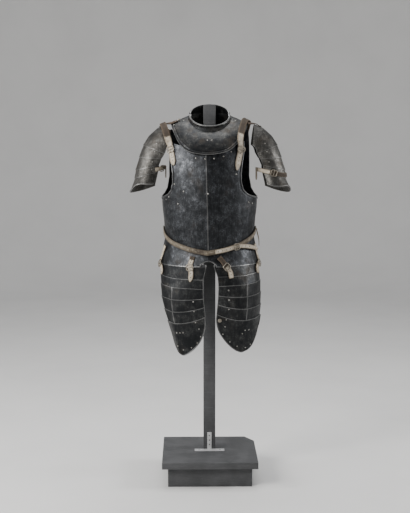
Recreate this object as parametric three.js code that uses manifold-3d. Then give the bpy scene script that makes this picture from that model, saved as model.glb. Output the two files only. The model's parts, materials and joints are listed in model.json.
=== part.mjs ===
// A blackened half armour of about 1600, strapped together and hung on a plain wooden stand.
// Millimetres, +Z up, the front faces -Y, and the origin is the middle of the stand's underside.
// Left and right are those of somebody who looks at the front: left is -X.

import * as THREE from "three";
import { mergeVertices } from "three/addons/utils/BufferGeometryUtils.js";
import Module from "manifold-3d";

const wasm = await Module();
wasm.setup();

// Walls and clearances
const breastWall = 2.4;
const plateWall = 1.6;
const leatherWall = 3;
const clearance = 0.5;
const shellAir = 0.75;
const strapAir = 1.2;

// Stand
const blockWidth = 332;
const blockDepth = 300;
const blockHeight = 78;
const topWidth = 378;
const topDepth = 346;
const topThickness = 27;
const wornCornerAcross = 37;
const wornCornerDeep = 60;
const postWidth = 48;
const postDepth = 36;
const postTop = 1495;
const postBack = 38;
const bracketLegWidth = 17;
const bracketLegHeight = 72;
const bracketFootWidth = 120;
const bracketFootDepth = 26;
const bracketWall = 3;
const yokeDepth = 18;
const yokeHeight = 26;
const yokeLevel = 1402;
const yokeSeatInner = 98;
const yokeSeatOuter = 118;
const yokeRise = 14;
const armourForward = 23;

// Breastplate, backplate and waist
const chestHalf = 187;
const frontDepth = 160;
const backDepth = 112;
const waistFront = 927;
const waistSide = 1007;
const waistBack = 977;
const neckLevel = 1345;
const armpitLevel = 1135;
const keelShare = 0.25;
const waistSetOver = -8;
const neckSetOver = -17;
const frontTopDip = 22;
const frontTopRise = 7;
const backTop = 1400;
const backTopDip = 26;
const waistLip = 4;
const backUnderlap = 0.07;
const armholeRoll = 3;

// Fauld
const hemLevel = 878;
const fauldReach = 0.92;
const fauldTuck = 8;
const fauldUnderLip = 2;
const archHalf = 30;
const archRise = 21;

// Gorget
const neckBack = 3;
const rimAcross = 76;
const rimDeep = 70;
const rimLevel = 1455;
const rimTilt = 42;
const collarAcross = 84;
const collarDeep = 80;
const collarLevel = 1424;
const collarTilt = 38;
const collarShoulder = 18;
const gorgetHalf = 150;
const gorgetFore = 138;
const gorgetLow = 1305;
const gorgetFall = 137;
const gorgetBulge = 0.3;
const gorgetKnee = 0.55;
const gorgetSetOver = -11.9;
const gorgetCoreFall = 60;
const gorgetCoreBelow = 10;
const gorgetUnderlap = 0.06;
const collarRoll = 4;

// Tassets
const lamesLength = 219;
const lameRise = 45;
const endPlateLength = 124;
const rightTassetLift = 11;
const lameOverlap = 11;
const tassetRidge = 0.66;
const tassetOuterRise = 9;
const tassetRoll = 2;
const knobRadius = 7;
const knobLength = 9;

// Spaudlers
const armReach = 312;
const armTop = 1418;
const armFall = 262;
const armHalfDepth = 76;
const rightArmOut = 6;
const lowerArch = 24;
const lowerBackDrop = 12;
const lowerRoll = 2.5;
const spaudlerOverlap = 0.28;
const lameSlack = 1.3;

// Straps and buckles
const shoulderStrapWidth = 25;
const tassetStrapWidth = 20;
const beltWidth = 20;
const armStrapWidth = 16;
const hangerWidth = 22;
const tailWidth = 14;
const beltTailWidth = 17;
const beltTailFall = 62;
const hipStrapFall = 68;
const hangingOff = 4;
const armTailFall = 46;
const armTailLean = 4.5;
const armTailAbove = 6;
const buckleMargin = 5;
const buckleLength = 26;
const buckleBar = 4;
const buckleThickness = 3;
const buckleCorner = 5.6;
const pinRadius = 4;
const pinHeight = 7;

// Torso sections from the hem (-1) through the waist (0) to the neck (1) and the back's shoulder (1.2),
// as shares of the chest's half width and of the front and back depths
const torsoRows = [
  { at: -1, width: 1.048, front: 1.063, back: 1.0 },
  { at: -0.5, width: 0.985, front: 1.0, back: 0.89 },
  { at: 0, width: 0.95, front: 0.955, back: 0.8 },
  { at: 0.12, width: 0.958, front: 0.975, back: 0.85 },
  { at: 0.3, width: 0.992, front: 1.0, back: 0.95 },
  { at: 0.5, width: 1.0, front: 0.99, back: 1.0 },
  { at: 0.7, width: 1.0, front: 0.94, back: 0.98 },
  { at: 0.85, width: 0.985, front: 0.85, back: 0.88 },
  { at: 1, width: 0.95, front: 0.72, back: 0.69 },
  { at: 1.2, width: 0.9, front: 0.5, back: 0.46 },
];

// Outline of the breastplate: rise 0 is its lower edge, 1 the armpit and 2 its top, and reach is a share
// of the quarter turn from the keel to the side
const breastOutline = [
  { rise: 0, reach: 1 },
  { rise: 0.2, reach: 1 },
  { rise: 0.4, reach: 1 },
  { rise: 0.6, reach: 1 },
  { rise: 0.8, reach: 1 },
  { rise: 0.94, reach: 1 },
  { rise: 1.0, reach: 0.985 },
  { rise: 1.02, reach: 0.86 },
  { rise: 1.045, reach: 0.72 },
  { rise: 1.085, reach: 0.61 },
  { rise: 1.16, reach: 0.535 },
  { rise: 1.28, reach: 0.502 },
  { rise: 1.44, reach: 0.5 },
  { rise: 1.62, reach: 0.532 },
  { rise: 1.82, reach: 0.58 },
  { rise: 2, reach: 0.61 },
];

// Outline of the backplate, in the same way, with reach counted from the spine
const backOutline = [
  { rise: -0.12, reach: 1 },
  { rise: 0.06, reach: 1 },
  { rise: 0.35, reach: 1 },
  { rise: 0.65, reach: 1 },
  { rise: 0.92, reach: 1 },
  { rise: 1.0, reach: 0.97 },
  { rise: 1.025, reach: 0.84 },
  { rise: 1.06, reach: 0.73 },
  { rise: 1.13, reach: 0.65 },
  { rise: 1.3, reach: 0.6 },
  { rise: 1.55, reach: 0.61 },
  { rise: 1.8, reach: 0.64 },
  { rise: 2, reach: 0.655 },
];

// Lower edge of the gorget round the neck: at is the share of the half turn from the front, out and fore
// are shares of gorgetHalf and gorgetFore, and level is the share of gorgetFall above gorgetLow
const gorgetEdge = [
  { at: 0, out: 0, fore: 1, level: 0 },
  { at: 0.17, out: 0.48, fore: 0.94, level: 0.08 },
  { at: 0.28, out: 0.72, fore: 0.73, level: 0.27 },
  { at: 0.39, out: 0.89, fore: 0.44, level: 0.56 },
  { at: 0.5, out: 1, fore: 0.05, level: 0.83 },
  { at: 0.61, out: 0.97, fore: -0.3, level: 0.78 },
  { at: 0.78, out: 0.68, fore: -0.68, level: 0.53 },
  { at: 1, out: 0, fore: -0.84, level: 0.33 },
];

// Sections of the tassets at the fauld's hem, at the top edge of each further lame and at the tip.
// fall is a share of lamesLength (past 5, of endPlateLength), the edges and width are shares of
// tassetHalf, depth of tassetDepth, rise of lameRise, and power is the roundness of the section.
const tassetRows = [
  { at: 0, fall: 0, leftIn: 0.087, leftOut: 0.97, rightIn: 0.077, rightOut: 0.97, rise: 0 },
  { at: 1, fall: 0.219, leftIn: 0.143, leftOut: 0.98, rightIn: 0.143, rightOut: 0.985, rise: 0 },
  { at: 2, fall: 0.374, leftIn: 0.143, leftOut: 0.977, rightIn: 0.158, rightOut: 1.01, rise: -0.04 },
  { at: 3, fall: 0.584, leftIn: 0.138, leftOut: 0.964, rightIn: 0.153, rightOut: 1.022, rise: 0.16 },
  { at: 4, fall: 0.795, leftIn: 0.117, leftOut: 0.908, rightIn: 0.138, rightOut: 1.022, rise: 0.45 },
  { at: 5, fall: 1, leftIn: 0.1, leftOut: 0.837, rightIn: 0.12, rightOut: 1.01, rise: 0.6 },
];
const endPlateRows = [
  { at: 5, leftIn: 0.1, leftOut: 0.837, rightIn: 0.12, rightOut: 1.01 },
  { at: 5.2, leftIn: 0.097, leftOut: 0.8, rightIn: 0.112, rightOut: 0.995 },
  { at: 5.45, leftIn: 0.13, leftOut: 0.752, rightIn: 0.16, rightOut: 0.95 },
  { at: 5.68, leftIn: 0.21, leftOut: 0.708, rightIn: 0.27, rightOut: 0.893 },
  { at: 5.85, leftIn: 0.32, leftOut: 0.66, rightIn: 0.39, rightOut: 0.825 },
  { at: 5.95, leftIn: 0.42, leftOut: 0.615, rightIn: 0.49, rightOut: 0.745 },
  { at: 6, leftIn: 0.49, leftOut: 0.565, rightIn: 0.57, rightOut: 0.66 },
];
const tassetSections = [
  { at: 0, width: 1, depth: 1, power: 2.4, keel: 0.25 },
  { at: 1, width: 1.02, depth: 1, power: 2.7, keel: 0.17 },
  { at: 2, width: 1.045, depth: 1, power: 3.1, keel: 0.1 },
  { at: 3, width: 1.055, depth: 0.99, power: 3.6, keel: 0.04 },
  { at: 4, width: 1.055, depth: 0.98, power: 4, keel: 0 },
  { at: 5, width: 1.045, depth: 0.96, power: 4.2, keel: 0 },
  { at: 6, width: 1.03, depth: 0.92, power: 4.4, keel: 0 },
];

// Sections of a spaudler: the middle of its hollow and its outermost point, as shares of armReach from
// the axis and of armFall below armTop, half depth as a share of armHalfDepth, and wrap in degrees
// past the half turn at each side. Lames begin at rows 3 to 6, and row 7 is the lower rim.
const spaudlerRows = [
  { at: 0, midOut: 0.506, midFall: 0.305, out: 0.535, fall: 0, half: 0.86, wrap: 0 },
  { at: 1, midOut: 0.532, midFall: 0.328, out: 0.65, fall: 0.055, half: 0.9, wrap: 0 },
  { at: 2, midOut: 0.572, midFall: 0.36, out: 0.757, fall: 0.168, half: 0.92, wrap: 6 },
  { at: 3, midOut: 0.62, midFall: 0.4, out: 0.833, fall: 0.305, half: 0.9, wrap: 16 },
  { at: 4, midOut: 0.69, midFall: 0.5, out: 0.885, fall: 0.485, half: 0.87, wrap: 27 },
  { at: 5, midOut: 0.745, midFall: 0.63, out: 0.932, fall: 0.68, half: 0.85, wrap: 36 },
  { at: 6, midOut: 0.757, midFall: 0.735, out: 0.945, fall: 0.8, half: 0.84, wrap: 38 },
  { at: 7, midOut: 0.8, midFall: 0.93, out: 1, fall: 1.02, half: 0.94, wrap: 32 },
];

// Finishes
const steel = new THREE.MeshStandardMaterial({ color: 0x3b3e44, roughness: 0.42, metalness: 0.9 });
const paleLeather = new THREE.MeshStandardMaterial({ color: 0xb9a685, roughness: 0.8, metalness: 0 });
const brownLeather = new THREE.MeshStandardMaterial({ color: 0x4b3a2b, roughness: 0.75, metalness: 0 });
const buckleIron = new THREE.MeshStandardMaterial({ color: 0x7d7466, roughness: 0.5, metalness: 0.8 });
const paintedWood = new THREE.MeshStandardMaterial({ color: 0x606163, roughness: 0.7, metalness: 0 });
const bareIron = new THREE.MeshStandardMaterial({ color: 0xa6a8aa, roughness: 0.45, metalness: 0.7 });

const radians = (degrees) => (degrees * Math.PI) / 180;
const mix = THREE.MathUtils.lerp;
const clamp = THREE.MathUtils.clamp;
const smoothstep = THREE.MathUtils.smoothstep;
const point = (x, y, z) => new THREE.Vector3(x, y, z);
const shares = (count) => Array.from({ length: count + 1 }, (_, i) => i / count);

// The pair of rows that hold a place, and how far it is between them
function bracketing(rows, at) {
  let i = 0;
  while (i < rows.length - 2 && at > rows[i + 1].at) i++;
  return { i, t: (at - rows[i].at) / (rows[i + 1].at - rows[i].at) };
}

// A column of a table between its rows, in straight stretches
function straight(rows, name, at) {
  const { i, t } = bracketing(rows, at);
  return mix(rows[i][name], rows[i + 1][name], t);
}

// A column of a table as a smooth curve through its rows, level at its ends where flat is true
function smooth(rows, name, at, flat = false) {
  const { i, t } = bracketing(rows, clamp(at, rows[0].at, rows.at(-1).at));
  const span = rows[i + 1].at - rows[i].at;
  const slope = (j) => {
    if (flat && (j === 0 || j === rows.length - 1)) return 0;
    const [a, b] = [rows[Math.max(j - 1, 0)], rows[Math.min(j + 1, rows.length - 1)]];
    return (b[name] - a[name]) / (b.at - a.at);
  };
  const h = (3 - 2 * t) * t * t;
  const bend = slope(i) * t * (1 - t) ** 2 - slope(i + 1) * t * t * (1 - t);
  return mix(rows[i][name], rows[i + 1][name], h) + bend * span;
}

// A surface that plates and straps lie on: at(u, v) is a point of it, core(u, v) a point inside it
class Skin {
  constructor(at, core) {
    this.at = at;
    this.core = core;
  }
  normal(u, v) {
    const step = 1e-3;
    const along = this.at(u + step, v).sub(this.at(u - step, v));
    const down = this.at(u, v + step).sub(this.at(u, v - step));
    const normal = along.cross(down).normalize();
    return normal.dot(this.at(u, v).sub(this.core(u, v))) < 0 ? normal.negate() : normal;
  }
  out(u, v, off) {
    return this.at(u, v).addScaledVector(this.normal(u, v), off);
  }
  // A resting place for a strap: a point off the surface, and the way out from it
  rest(u, v, off) {
    return { p: this.out(u, v, off), n: this.normal(u, v) };
  }
}

// One closed body from rings of points, each ring joined to the next, with both ends closed, or with the
// last ring joined to the first
function loft(rings, looped = false) {
  const size = rings[0].length;
  const index = [];
  const last = looped ? rings.length : rings.length - 1;
  for (let j = 0; j < last; j++) {
    const next = (j + 1) % rings.length;
    for (let i = 0; i < size; i++) {
      const k = (i + 1) % size;
      const [a, b, c, d] = [j * size + i, j * size + k, next * size + k, next * size + i];
      index.push(a, b, c, a, c, d);
    }
  }
  if (!looped) {
    const far = (rings.length - 1) * size;
    for (let i = 1; i < size - 1; i++) {
      index.push(0, i + 1, i, far, far + i, far + i + 1);
    }
  }
  return facingOut(rings.flat(), index);
}

// Geometry from shared points, turned so that its faces point out
function facingOut(points, index) {
  let volume = 0;
  for (let i = 0; i < index.length; i += 3) {
    const [a, b, c] = [points[index[i]], points[index[i + 1]], points[index[i + 2]]];
    volume += a.dot(point(0, 0, 0).crossVectors(b, c));
  }
  if (volume < 0) index.reverse();
  const geometry = new THREE.BufferGeometry().setFromPoints(points);
  geometry.setIndex(index);
  return geometry;
}

// A plate with an even wall on a skin. place(a, row) gives for each column share and row number its u, v,
// lift of the whole wall off the skin, and bead, which thickens the outer face at a rolled edge.
function plate(skin, columns, rowCount, wall, place) {
  const faces = { outer: [], inner: [] };
  for (let row = 0; row < rowCount; row++) {
    for (const a of columns) {
      const { u, v, lift = 0, bead = 0 } = place(a, row);
      faces.outer.push(skin.out(u, v, lift + bead));
      faces.inner.push(skin.out(u, v, lift - wall));
    }
  }
  const width = columns.length;
  const count = width * rowCount;
  const index = [];
  const quad = (a, b, c, d) => index.push(a, b, c, a, c, d);
  for (let j = 0; j < rowCount - 1; j++) {
    for (let i = 0; i < width - 1; i++) {
      const a = j * width + i;
      quad(a, a + 1, a + width + 1, a + width);
      quad(count + a, count + a + width, count + a + width + 1, count + a + 1);
    }
  }
  const far = (rowCount - 1) * width;
  for (let i = 0; i < width - 1; i++) {
    quad(i, count + i, count + i + 1, i + 1);
    quad(far + i, far + i + 1, count + far + i + 1, count + far + i);
  }
  for (let j = 0; j < rowCount - 1; j++) {
    const [a, b] = [j * width, j * width + width - 1];
    quad(a, a + width, count + a + width, count + a);
    quad(b, count + b, count + b + width, b + width);
  }
  return facingOut([...faces.outer, ...faces.inner], index);
}

// Frames along a strap: its path runs smoothly through the resting places
function strapFrames(places, steps) {
  const path = new THREE.CatmullRomCurve3(places.map((place) => place.p), false, "centripetal");
  const normals = new THREE.CatmullRomCurve3(places.map((place) => place.n));
  return shares(steps).map((t) => {
    const tangent = path.getTangent(t);
    const side = tangent.clone().cross(normals.getPoint(t)).normalize();
    return { p: path.getPoint(t), tangent, side, n: side.clone().cross(tangent) };
  });
}

// A flat leather strap on those frames, narrowed to a point over its last part where tip is above 0
function strap(places, width, steps, tip = 0) {
  const frames = strapFrames(places, steps);
  return loft(
    frames.map(({ p, side, n }, k) => {
      const left = 1 - k / steps;
      const half = (width / 2) * (left < tip ? mix(0.35, 1, left / tip) : 1);
      const top = p.clone().addScaledVector(n, leatherWall);
      return [
        p.clone().addScaledVector(side, -half),
        p.clone().addScaledVector(side, half),
        top.clone().addScaledVector(side, half),
        top.clone().addScaledVector(side, -half),
      ];
    }),
  );
}

// A buckle frame with a middle bar, lying flat on a strap at the share t of its length. Its bars rest on
// the highest places of the strap's two upper edges under them.
function buckle(places, steps, t, strapWidth) {
  const { p, tangent, side, n } = strapFrames(places, steps * 4)[Math.round(t * steps * 4)];
  const [halfAcross, halfAlong] = [strapWidth / 2 + buckleMargin, buckleLength / 2];
  const wide = halfAcross - buckleBar;
  const [near, far] = [buckleBar / 2, halfAlong - buckleBar];
  const underBar = (top) => {
    const [across, along] = [Math.abs(top.dot(side)), Math.abs(top.dot(tangent))];
    const inFrame = along < halfAlong && across + along < halfAcross + halfAlong - buckleCorner;
    return inFrame && (across > wide || along < near || along > far);
  };
  const edges = [-1, 1].map((way) =>
    strapFrames(places, steps).map((frame) =>
      frame.p.clone().addScaledVector(frame.n, leatherWall).addScaledVector(frame.side, (way * strapWidth) / 2),
    ),
  );
  const heights = edges
    .flatMap((edge) =>
      edge.slice(1).flatMap((end, k) => shares(16).map((at) => edge[k].clone().lerp(end, at).sub(p))),
    )
    .filter(underBar)
    .map((top) => top.dot(n));
  const rise = Math.max(leatherWall, ...heights);
  const frame = new THREE.Shape([
    new THREE.Vector2(-halfAcross + buckleCorner, -halfAlong),
    new THREE.Vector2(halfAcross - buckleCorner, -halfAlong),
    new THREE.Vector2(halfAcross, -halfAlong + buckleCorner),
    new THREE.Vector2(halfAcross, halfAlong - buckleCorner),
    new THREE.Vector2(halfAcross - buckleCorner, halfAlong),
    new THREE.Vector2(-halfAcross + buckleCorner, halfAlong),
    new THREE.Vector2(-halfAcross, halfAlong - buckleCorner),
    new THREE.Vector2(-halfAcross, -halfAlong + buckleCorner),
  ]);
  for (const [low, high] of [[-far, -near], [near, far]]) {
    frame.holes.push(
      new THREE.Path([
        new THREE.Vector2(-wide, low),
        new THREE.Vector2(wide, low),
        new THREE.Vector2(wide, high),
        new THREE.Vector2(-wide, high),
      ]),
    );
  }
  const geometry = new THREE.ExtrudeGeometry(frame, { depth: buckleThickness, bevelEnabled: false });
  const seat = p.clone().addScaledVector(n, rise + clearance);
  return geometry.applyMatrix4(new THREE.Matrix4().makeBasis(side, tangent, n).setPosition(seat));
}

// Depth of a section at x: a flattened ellipse with some straight ridge mixed in
function sectionDepth(share, power, keel) {
  const round = Math.sqrt(Math.max(0, 1 - Math.abs(share) ** power));
  return (1 - keel) * round + keel * (1 - Math.abs(share));
}

// Height of the waist round the body: u is 0 at the front, 1 at a side and 2 at the back
function waistAt(u) {
  const turn = Math.abs(((u + 2 + 8) % 4) - 2);
  if (turn <= 1) return waistFront + (waistSide - waistFront) * turn ** 1.5;
  return waistBack + (waistSide - waistBack) * (2 - turn) ** 1.5;
}

// Torso level (-1 hem, 0 waist, 1 neck) of a height
function torsoLevel(u, z) {
  const waist = waistAt(u);
  return z >= waist ? (z - waist) / (neckLevel - waist) : (z - waist) / (waist - hemLevel);
}

function torsoHeight(u, level) {
  const waist = waistAt(u);
  return level >= 0 ? waist + level * (neckLevel - waist) : waist + level * (waist - hemLevel);
}

const torso = new Skin(
  (u, level) => {
    const angle = radians(90 * u);
    const share = Math.sin(angle);
    const front = Math.cos(angle) > 0;
    const half = chestHalf * smooth(torsoRows, "width", level);
    const deep = front
      ? -frontDepth * smooth(torsoRows, "front", level)
      : backDepth * smooth(torsoRows, "back", level);
    const setOver = front ? mix(waistSetOver, neckSetOver, clamp(level, 0, 1)) * (1 - share ** 6) : 0;
    const y = deep * sectionDepth(share, 2.4, front ? keelShare : 0);
    return point(half * share + setOver, y, torsoHeight(u, level));
  },
  (u, level) => point(0, 0, torsoHeight(u, level)),
);

// Places on the torso by height
const onTorso = (u, z) => ({ u, v: torsoLevel(u, z) });

// Height on a breast or back outline: rise 0 is the lower edge, 1 the armpit, 2 the top
const outlineHeight = (low, top, rise) =>
  rise <= 1 ? mix(low, armpitLevel, rise) : mix(armpitLevel, top, rise - 1);

function breastplate() {
  const columns = [0, 0.02, ...shares(20).slice(1, -1), 0.98, 1];
  return plate(torso, columns, breastOutline.length, breastWall, (a, row) => {
    const { rise, reach } = breastOutline[row];
    const u = mix(-reach, reach, a);
    const top = neckLevel + frontTopRise - frontTopDip * (1 - (u / reach) ** 2);
    const z = outlineHeight(waistAt(u) - waistLip, top, rise);
    const rolled = (a === 0 || a === 1) && rise >= 1;
    return { ...onTorso(u, z), bead: rolled ? armholeRoll : 0 };
  });
}

function backplate() {
  const columns = [0, 0.03, ...shares(16).slice(1, -1), 0.97, 1];
  return plate(torso, columns, backOutline.length, plateWall, (a, row) => {
    const { rise, reach } = backOutline[row];
    const u = 2 + mix(-1, 1, a) * reach * (1 + backUnderlap);
    const top = backTop - backTopDip * (1 - mix(-1, 1, a) ** 2);
    const z = outlineHeight(waistAt(u), top, rise);
    const tuck = smoothstep(Math.abs(u - 2), 0.84, 0.9);
    const rolled = (a === 0 || a === 1) && rise > 1;
    return {
      ...onTorso(u, z),
      lift: -(breastWall + shellAir) * (rise > 1.01 ? 0 : tuck),
      bead: rolled ? armholeRoll : 0,
    };
  });
}

// Fauld: the waist lame, tucked under the breastplate's lip, with an arch between the tassets
function fauld() {
  const fine = [0.025, 0.05, 0.075, 0.095, 0.115];
  const half = [...fine, ...shares(10).slice(1).map((t) => mix(fine.at(-1), fauldReach, t))];
  const columns = [...half.toReversed().map((u) => -u), 0, ...half];
  const tucked = -(breastWall + shellAir);
  return plate(torso, columns, 5, plateWall, (u, row) => {
    const x = chestHalf * torsoRows[0].width * Math.sin(radians(90 * u));
    const arch = archRise * Math.sqrt(Math.max(0, 1 - (x / archHalf) ** 2));
    const [lip, hem] = [waistAt(u) - waistLip - fauldUnderLip, hemLevel + arch];
    const z = [waistAt(u) + fauldTuck, lip, mix(lip, hem, 0.3), mix(lip, hem, 0.68), hem][row];
    return { ...onTorso(u, z), lift: [tucked, tucked, tucked * 0.4, 0, 0][row] };
  });
}

// Gorget: v is 0 at the collar's rim, 1 at its foot and 2 at the lower edge; u as on the torso
function gorgetPoint(u, v) {
  const angle = radians(90 * u);
  const [fore, aside] = [Math.cos(angle), Math.sin(angle)];
  const rim = point(rimAcross * aside, neckBack - rimDeep * fore, rimLevel - rimTilt * fore);
  const foot = point(
    collarAcross * aside,
    neckBack - collarDeep * fore,
    collarLevel - collarTilt * fore + collarShoulder * aside * aside,
  );
  if (v <= 1) return rim.lerp(foot, v);
  const turn = Math.acos(clamp(fore, -1, 1)) / Math.PI;
  const edge = point(
    Math.sign(aside) * gorgetHalf * smooth(gorgetEdge, "out", turn) + gorgetSetOver * Math.max(0, fore),
    -gorgetFore * smooth(gorgetEdge, "fore", turn, true),
    gorgetLow + gorgetFall * smooth(gorgetEdge, "level", turn, true),
  );
  const t = v - 1;
  const knee = foot.clone().lerp(edge, gorgetKnee);
  knee.z = mix(foot.z, edge.z, gorgetBulge);
  return foot.multiplyScalar((1 - t) ** 2)
    .addScaledVector(knee, 2 * t * (1 - t))
    .addScaledVector(edge, t * t);
}

const gorget = new Skin(gorgetPoint, (u, v) => {
  const p = gorgetPoint(u, v);
  return point(0, neckBack, v < 1 ? p.z : p.z - gorgetCoreFall * (v - 1) - gorgetCoreBelow);
});

function gorgetHalfPlate(middle, reach, tuck) {
  const levels = [0, 0.45, 1, 1.12, 1.3, 1.55, 1.8, 2];
  return plate(gorget, shares(20), levels.length, plateWall, (a, row) => {
    const under = tuck * smoothstep(Math.abs(mix(-1, 1, a)), 0.8, 0.86);
    return {
      u: middle + mix(-reach, reach, a),
      v: levels[row],
      lift: under,
      bead: row === 0 && under === 0 ? collarRoll : 0,
    };
  });
}

// Tassets: u is 0 at the inner edge and 1 at the outer, v counts lames from the hem
const tassetHalf = chestHalf * torsoRows[0].width;
const tassetDepth = frontDepth * torsoRows[0].front;
const lameLength = (k) =>
  k < 5 ? (tassetRows[k + 1].fall - tassetRows[k].fall) * lamesLength : endPlateLength;

function tassetSkin(side) {
  const name = side < 0 ? "left" : "right";
  const lift = side < 0 ? 0 : rightTassetLift;
  const last = tassetRows.at(-1);
  const lineHeight = (row, u) => {
    const inner = Math.max(0, (tassetRidge - u) / tassetRidge) ** 2;
    const outer = Math.max(0, (u - tassetRidge) / (1 - tassetRidge)) ** 2;
    const lifted = row.at > 0 ? lift + outer * tassetOuterRise : 0;
    return hemLevel - row.fall * lamesLength + row.rise * lameRise * inner + lifted;
  };
  const height = (u, v) => {
    if (v >= last.at) {
      const drop = (v - last.at) * endPlateLength;
      return mix(lineHeight(last, u), lineHeight(last, tassetRidge), v - last.at) - drop;
    }
    const { i, t } = bracketing(tassetRows, v);
    return mix(lineHeight(tassetRows[i], u), lineHeight(tassetRows[i + 1], u), t);
  };
  // Above the hem a tasset has the fauld's own section, and below it the sections of its table
  const sectionAt = (share, v, z) => {
    if (v < 0) {
      const level = torsoLevel((Math.asin(share) / Math.PI) * 2, z);
      const half = chestHalf * smooth(torsoRows, "width", level);
      return { half, deep: frontDepth * smooth(torsoRows, "front", level), power: 2.4, keel: keelShare };
    }
    const column = (key) => straight(tassetSections, key, Math.min(v, 6));
    return {
      half: tassetHalf * column("width"),
      deep: tassetDepth * column("depth"),
      power: column("power"),
      keel: column("keel"),
    };
  };
  const at = (u, v) => {
    const rows = v > last.at ? endPlateRows : tassetRows;
    const inner = straight(rows, name + "In", Math.max(v, 0));
    const outer = straight(rows, name + "Out", Math.max(v, 0));
    const x = side * tassetHalf * mix(inner, outer, u);
    const z = height(u, v);
    const setOver = waistSetOver * clamp(1 - v / 2, 0, 1);
    let share = x / tassetHalf;
    for (let n = 0; n < 8; n++) {
      share = clamp((x - setOver * (1 - share ** 6)) / sectionAt(share, v, z).half, -0.999, 0.999);
    }
    const { deep, power, keel } = sectionAt(share, v, z);
    return point(x, -deep * sectionDepth(share, power, keel), z);
  };
  return new Skin(at, (u, v) => point(side * tassetHalf * 0.4, 0, height(0.5, v)));
}

const tassetColumns = [0, 0.05, 0.2, 0.35, 0.5, 0.66, 0.78, 0.88, 0.95, 1];

// One tasset lame. The first is tucked under the fauld, and each other lies over the one above it.
const underFauld = -(plateWall + shellAir);
const shortestLame = Math.min(...[1, 2, 3, 4].map(lameLength));
const lameTilt = (plateWall + shellAir) * (1 + lameOverlap / shortestLame);
function tassetLame(skin, k) {
  const length = lameLength(k) + lameOverlap;
  const bottom = k + 1 + lameOverlap / lameLength(k + 1);
  const levels = k === 0 ? [-lameOverlap / lameLength(0), 0, 1, bottom] : [k, k + 1, bottom];
  return plate(skin, tassetColumns, levels.length, plateWall, (u, row) => {
    const v = levels[row];
    const down = v <= k + 1 ? (v - k) * lameLength(k) : length;
    return { u, v, lift: underFauld + (k === 0 ? 0 : lameTilt * (1 - down / length)) };
  });
}

const endPlateLift = (v) =>
  underFauld + lameTilt * clamp(1 - ((v - 5) * endPlateLength) / (shortestLame + lameOverlap), 0, 1);

function tassetEndPlate(skin) {
  const levels = [5, 5.1, ...endPlateRows.slice(1).map((row) => row.at)];
  return plate(skin, tassetColumns, levels.length, plateWall, (u, row) => ({
    u,
    v: levels[row],
    lift: endPlateLift(levels[row]),
    bead: u === 0 || u === 1 || row === levels.length - 1 ? tassetRoll : 0,
  }));
}

// Spaudlers: u runs from -1 at the front edge to 1 at the back edge, v counts rows of the table
function spaudlerSkin(side) {
  const out = side > 0 ? rightArmOut : 0;
  const middle = (v) =>
    point(
      side * (armReach * straight(spaudlerRows, "midOut", v) + out),
      0,
      armTop - armFall * straight(spaudlerRows, "midFall", v),
    );
  const archPlace = side < 0 ? -0.5 : -0.32;
  const at = (u, v) => {
    const mid = middle(v);
    const angle = radians(90 + u * (90 + straight(spaudlerRows, "wrap", v)));
    const rib = point(
      side * (armReach * straight(spaudlerRows, "out", v) + out),
      0,
      armTop - armFall * straight(spaudlerRows, "fall", v),
    ).sub(mid);
    const p = mid.addScaledVector(rib, Math.sin(angle));
    p.y -= armHalfDepth * straight(spaudlerRows, "half", v) * Math.cos(angle);
    const low = Math.max(0, v - 6);
    p.z += low * lowerArch * Math.exp(-(((u - archPlace) / 0.32) ** 2));
    p.z -= low * lowerBackDrop * smoothstep(u, 0, 0.8);
    return p;
  };
  return new Skin(at, (u, v) => middle(v));
}

const spaudlerColumns = shares(14);

function spaudlerMain(skin) {
  const levels = [0, 0.5, 1, 2, 3 - spaudlerOverlap, 3];
  return plate(skin, spaudlerColumns, levels.length, plateWall, (a, row) => ({
    u: mix(-1, 1, a),
    v: levels[row],
  }));
}

// A spaudler lame from table row k, tucked under the one above it
function spaudlerLame(skin, k) {
  const lower = k === 6;
  const levels = [k - spaudlerOverlap, k, ...(lower ? [k + 0.4, k + 0.93] : [k + 1 - spaudlerOverlap]), k + 1];
  const tuck = -(plateWall + clearance) * (1 + spaudlerOverlap * lameSlack);
  return plate(skin, spaudlerColumns, levels.length, plateWall, (a, row) => {
    const down = (levels[row] - levels[0]) / (1 + spaudlerOverlap);
    const rolled = lower && row === levels.length - 1;
    return { u: mix(-1, 1, a), v: levels[row], lift: tuck * (1 - down), bead: rolled ? lowerRoll : 0 };
  });
}

// Several closed geometries joined into one body
function joined(geometries) {
  const solids = geometries.map((geometry) => {
    const bare = geometry.clone().deleteAttribute("normal").deleteAttribute("uv");
    const merged = mergeVertices(bare, 1e-4);
    return new wasm.Manifold(
      new wasm.Mesh({
        numProp: 3,
        vertProperties: merged.attributes.position.array,
        triVerts: new Uint32Array(merged.index.array),
      }),
    );
  });
  const mesh = solids.reduce((whole, solid) => whole.add(solid)).getMesh();
  const geometry = new THREE.BufferGeometry();
  geometry.setAttribute("position", new THREE.BufferAttribute(mesh.vertProperties, 3));
  geometry.setIndex(new THREE.BufferAttribute(mesh.triVerts, 1));
  return geometry;
}

const armour = new THREE.Group();
armour.position.y = -armourForward;
const stand = new THREE.Group();
const part = new THREE.Group();
part.add(stand, armour);

function piece(group, name, geometry, material) {
  const mesh = new THREE.Mesh(geometry, material);
  mesh.name = name;
  group.add(mesh);
  return mesh;
}

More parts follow.
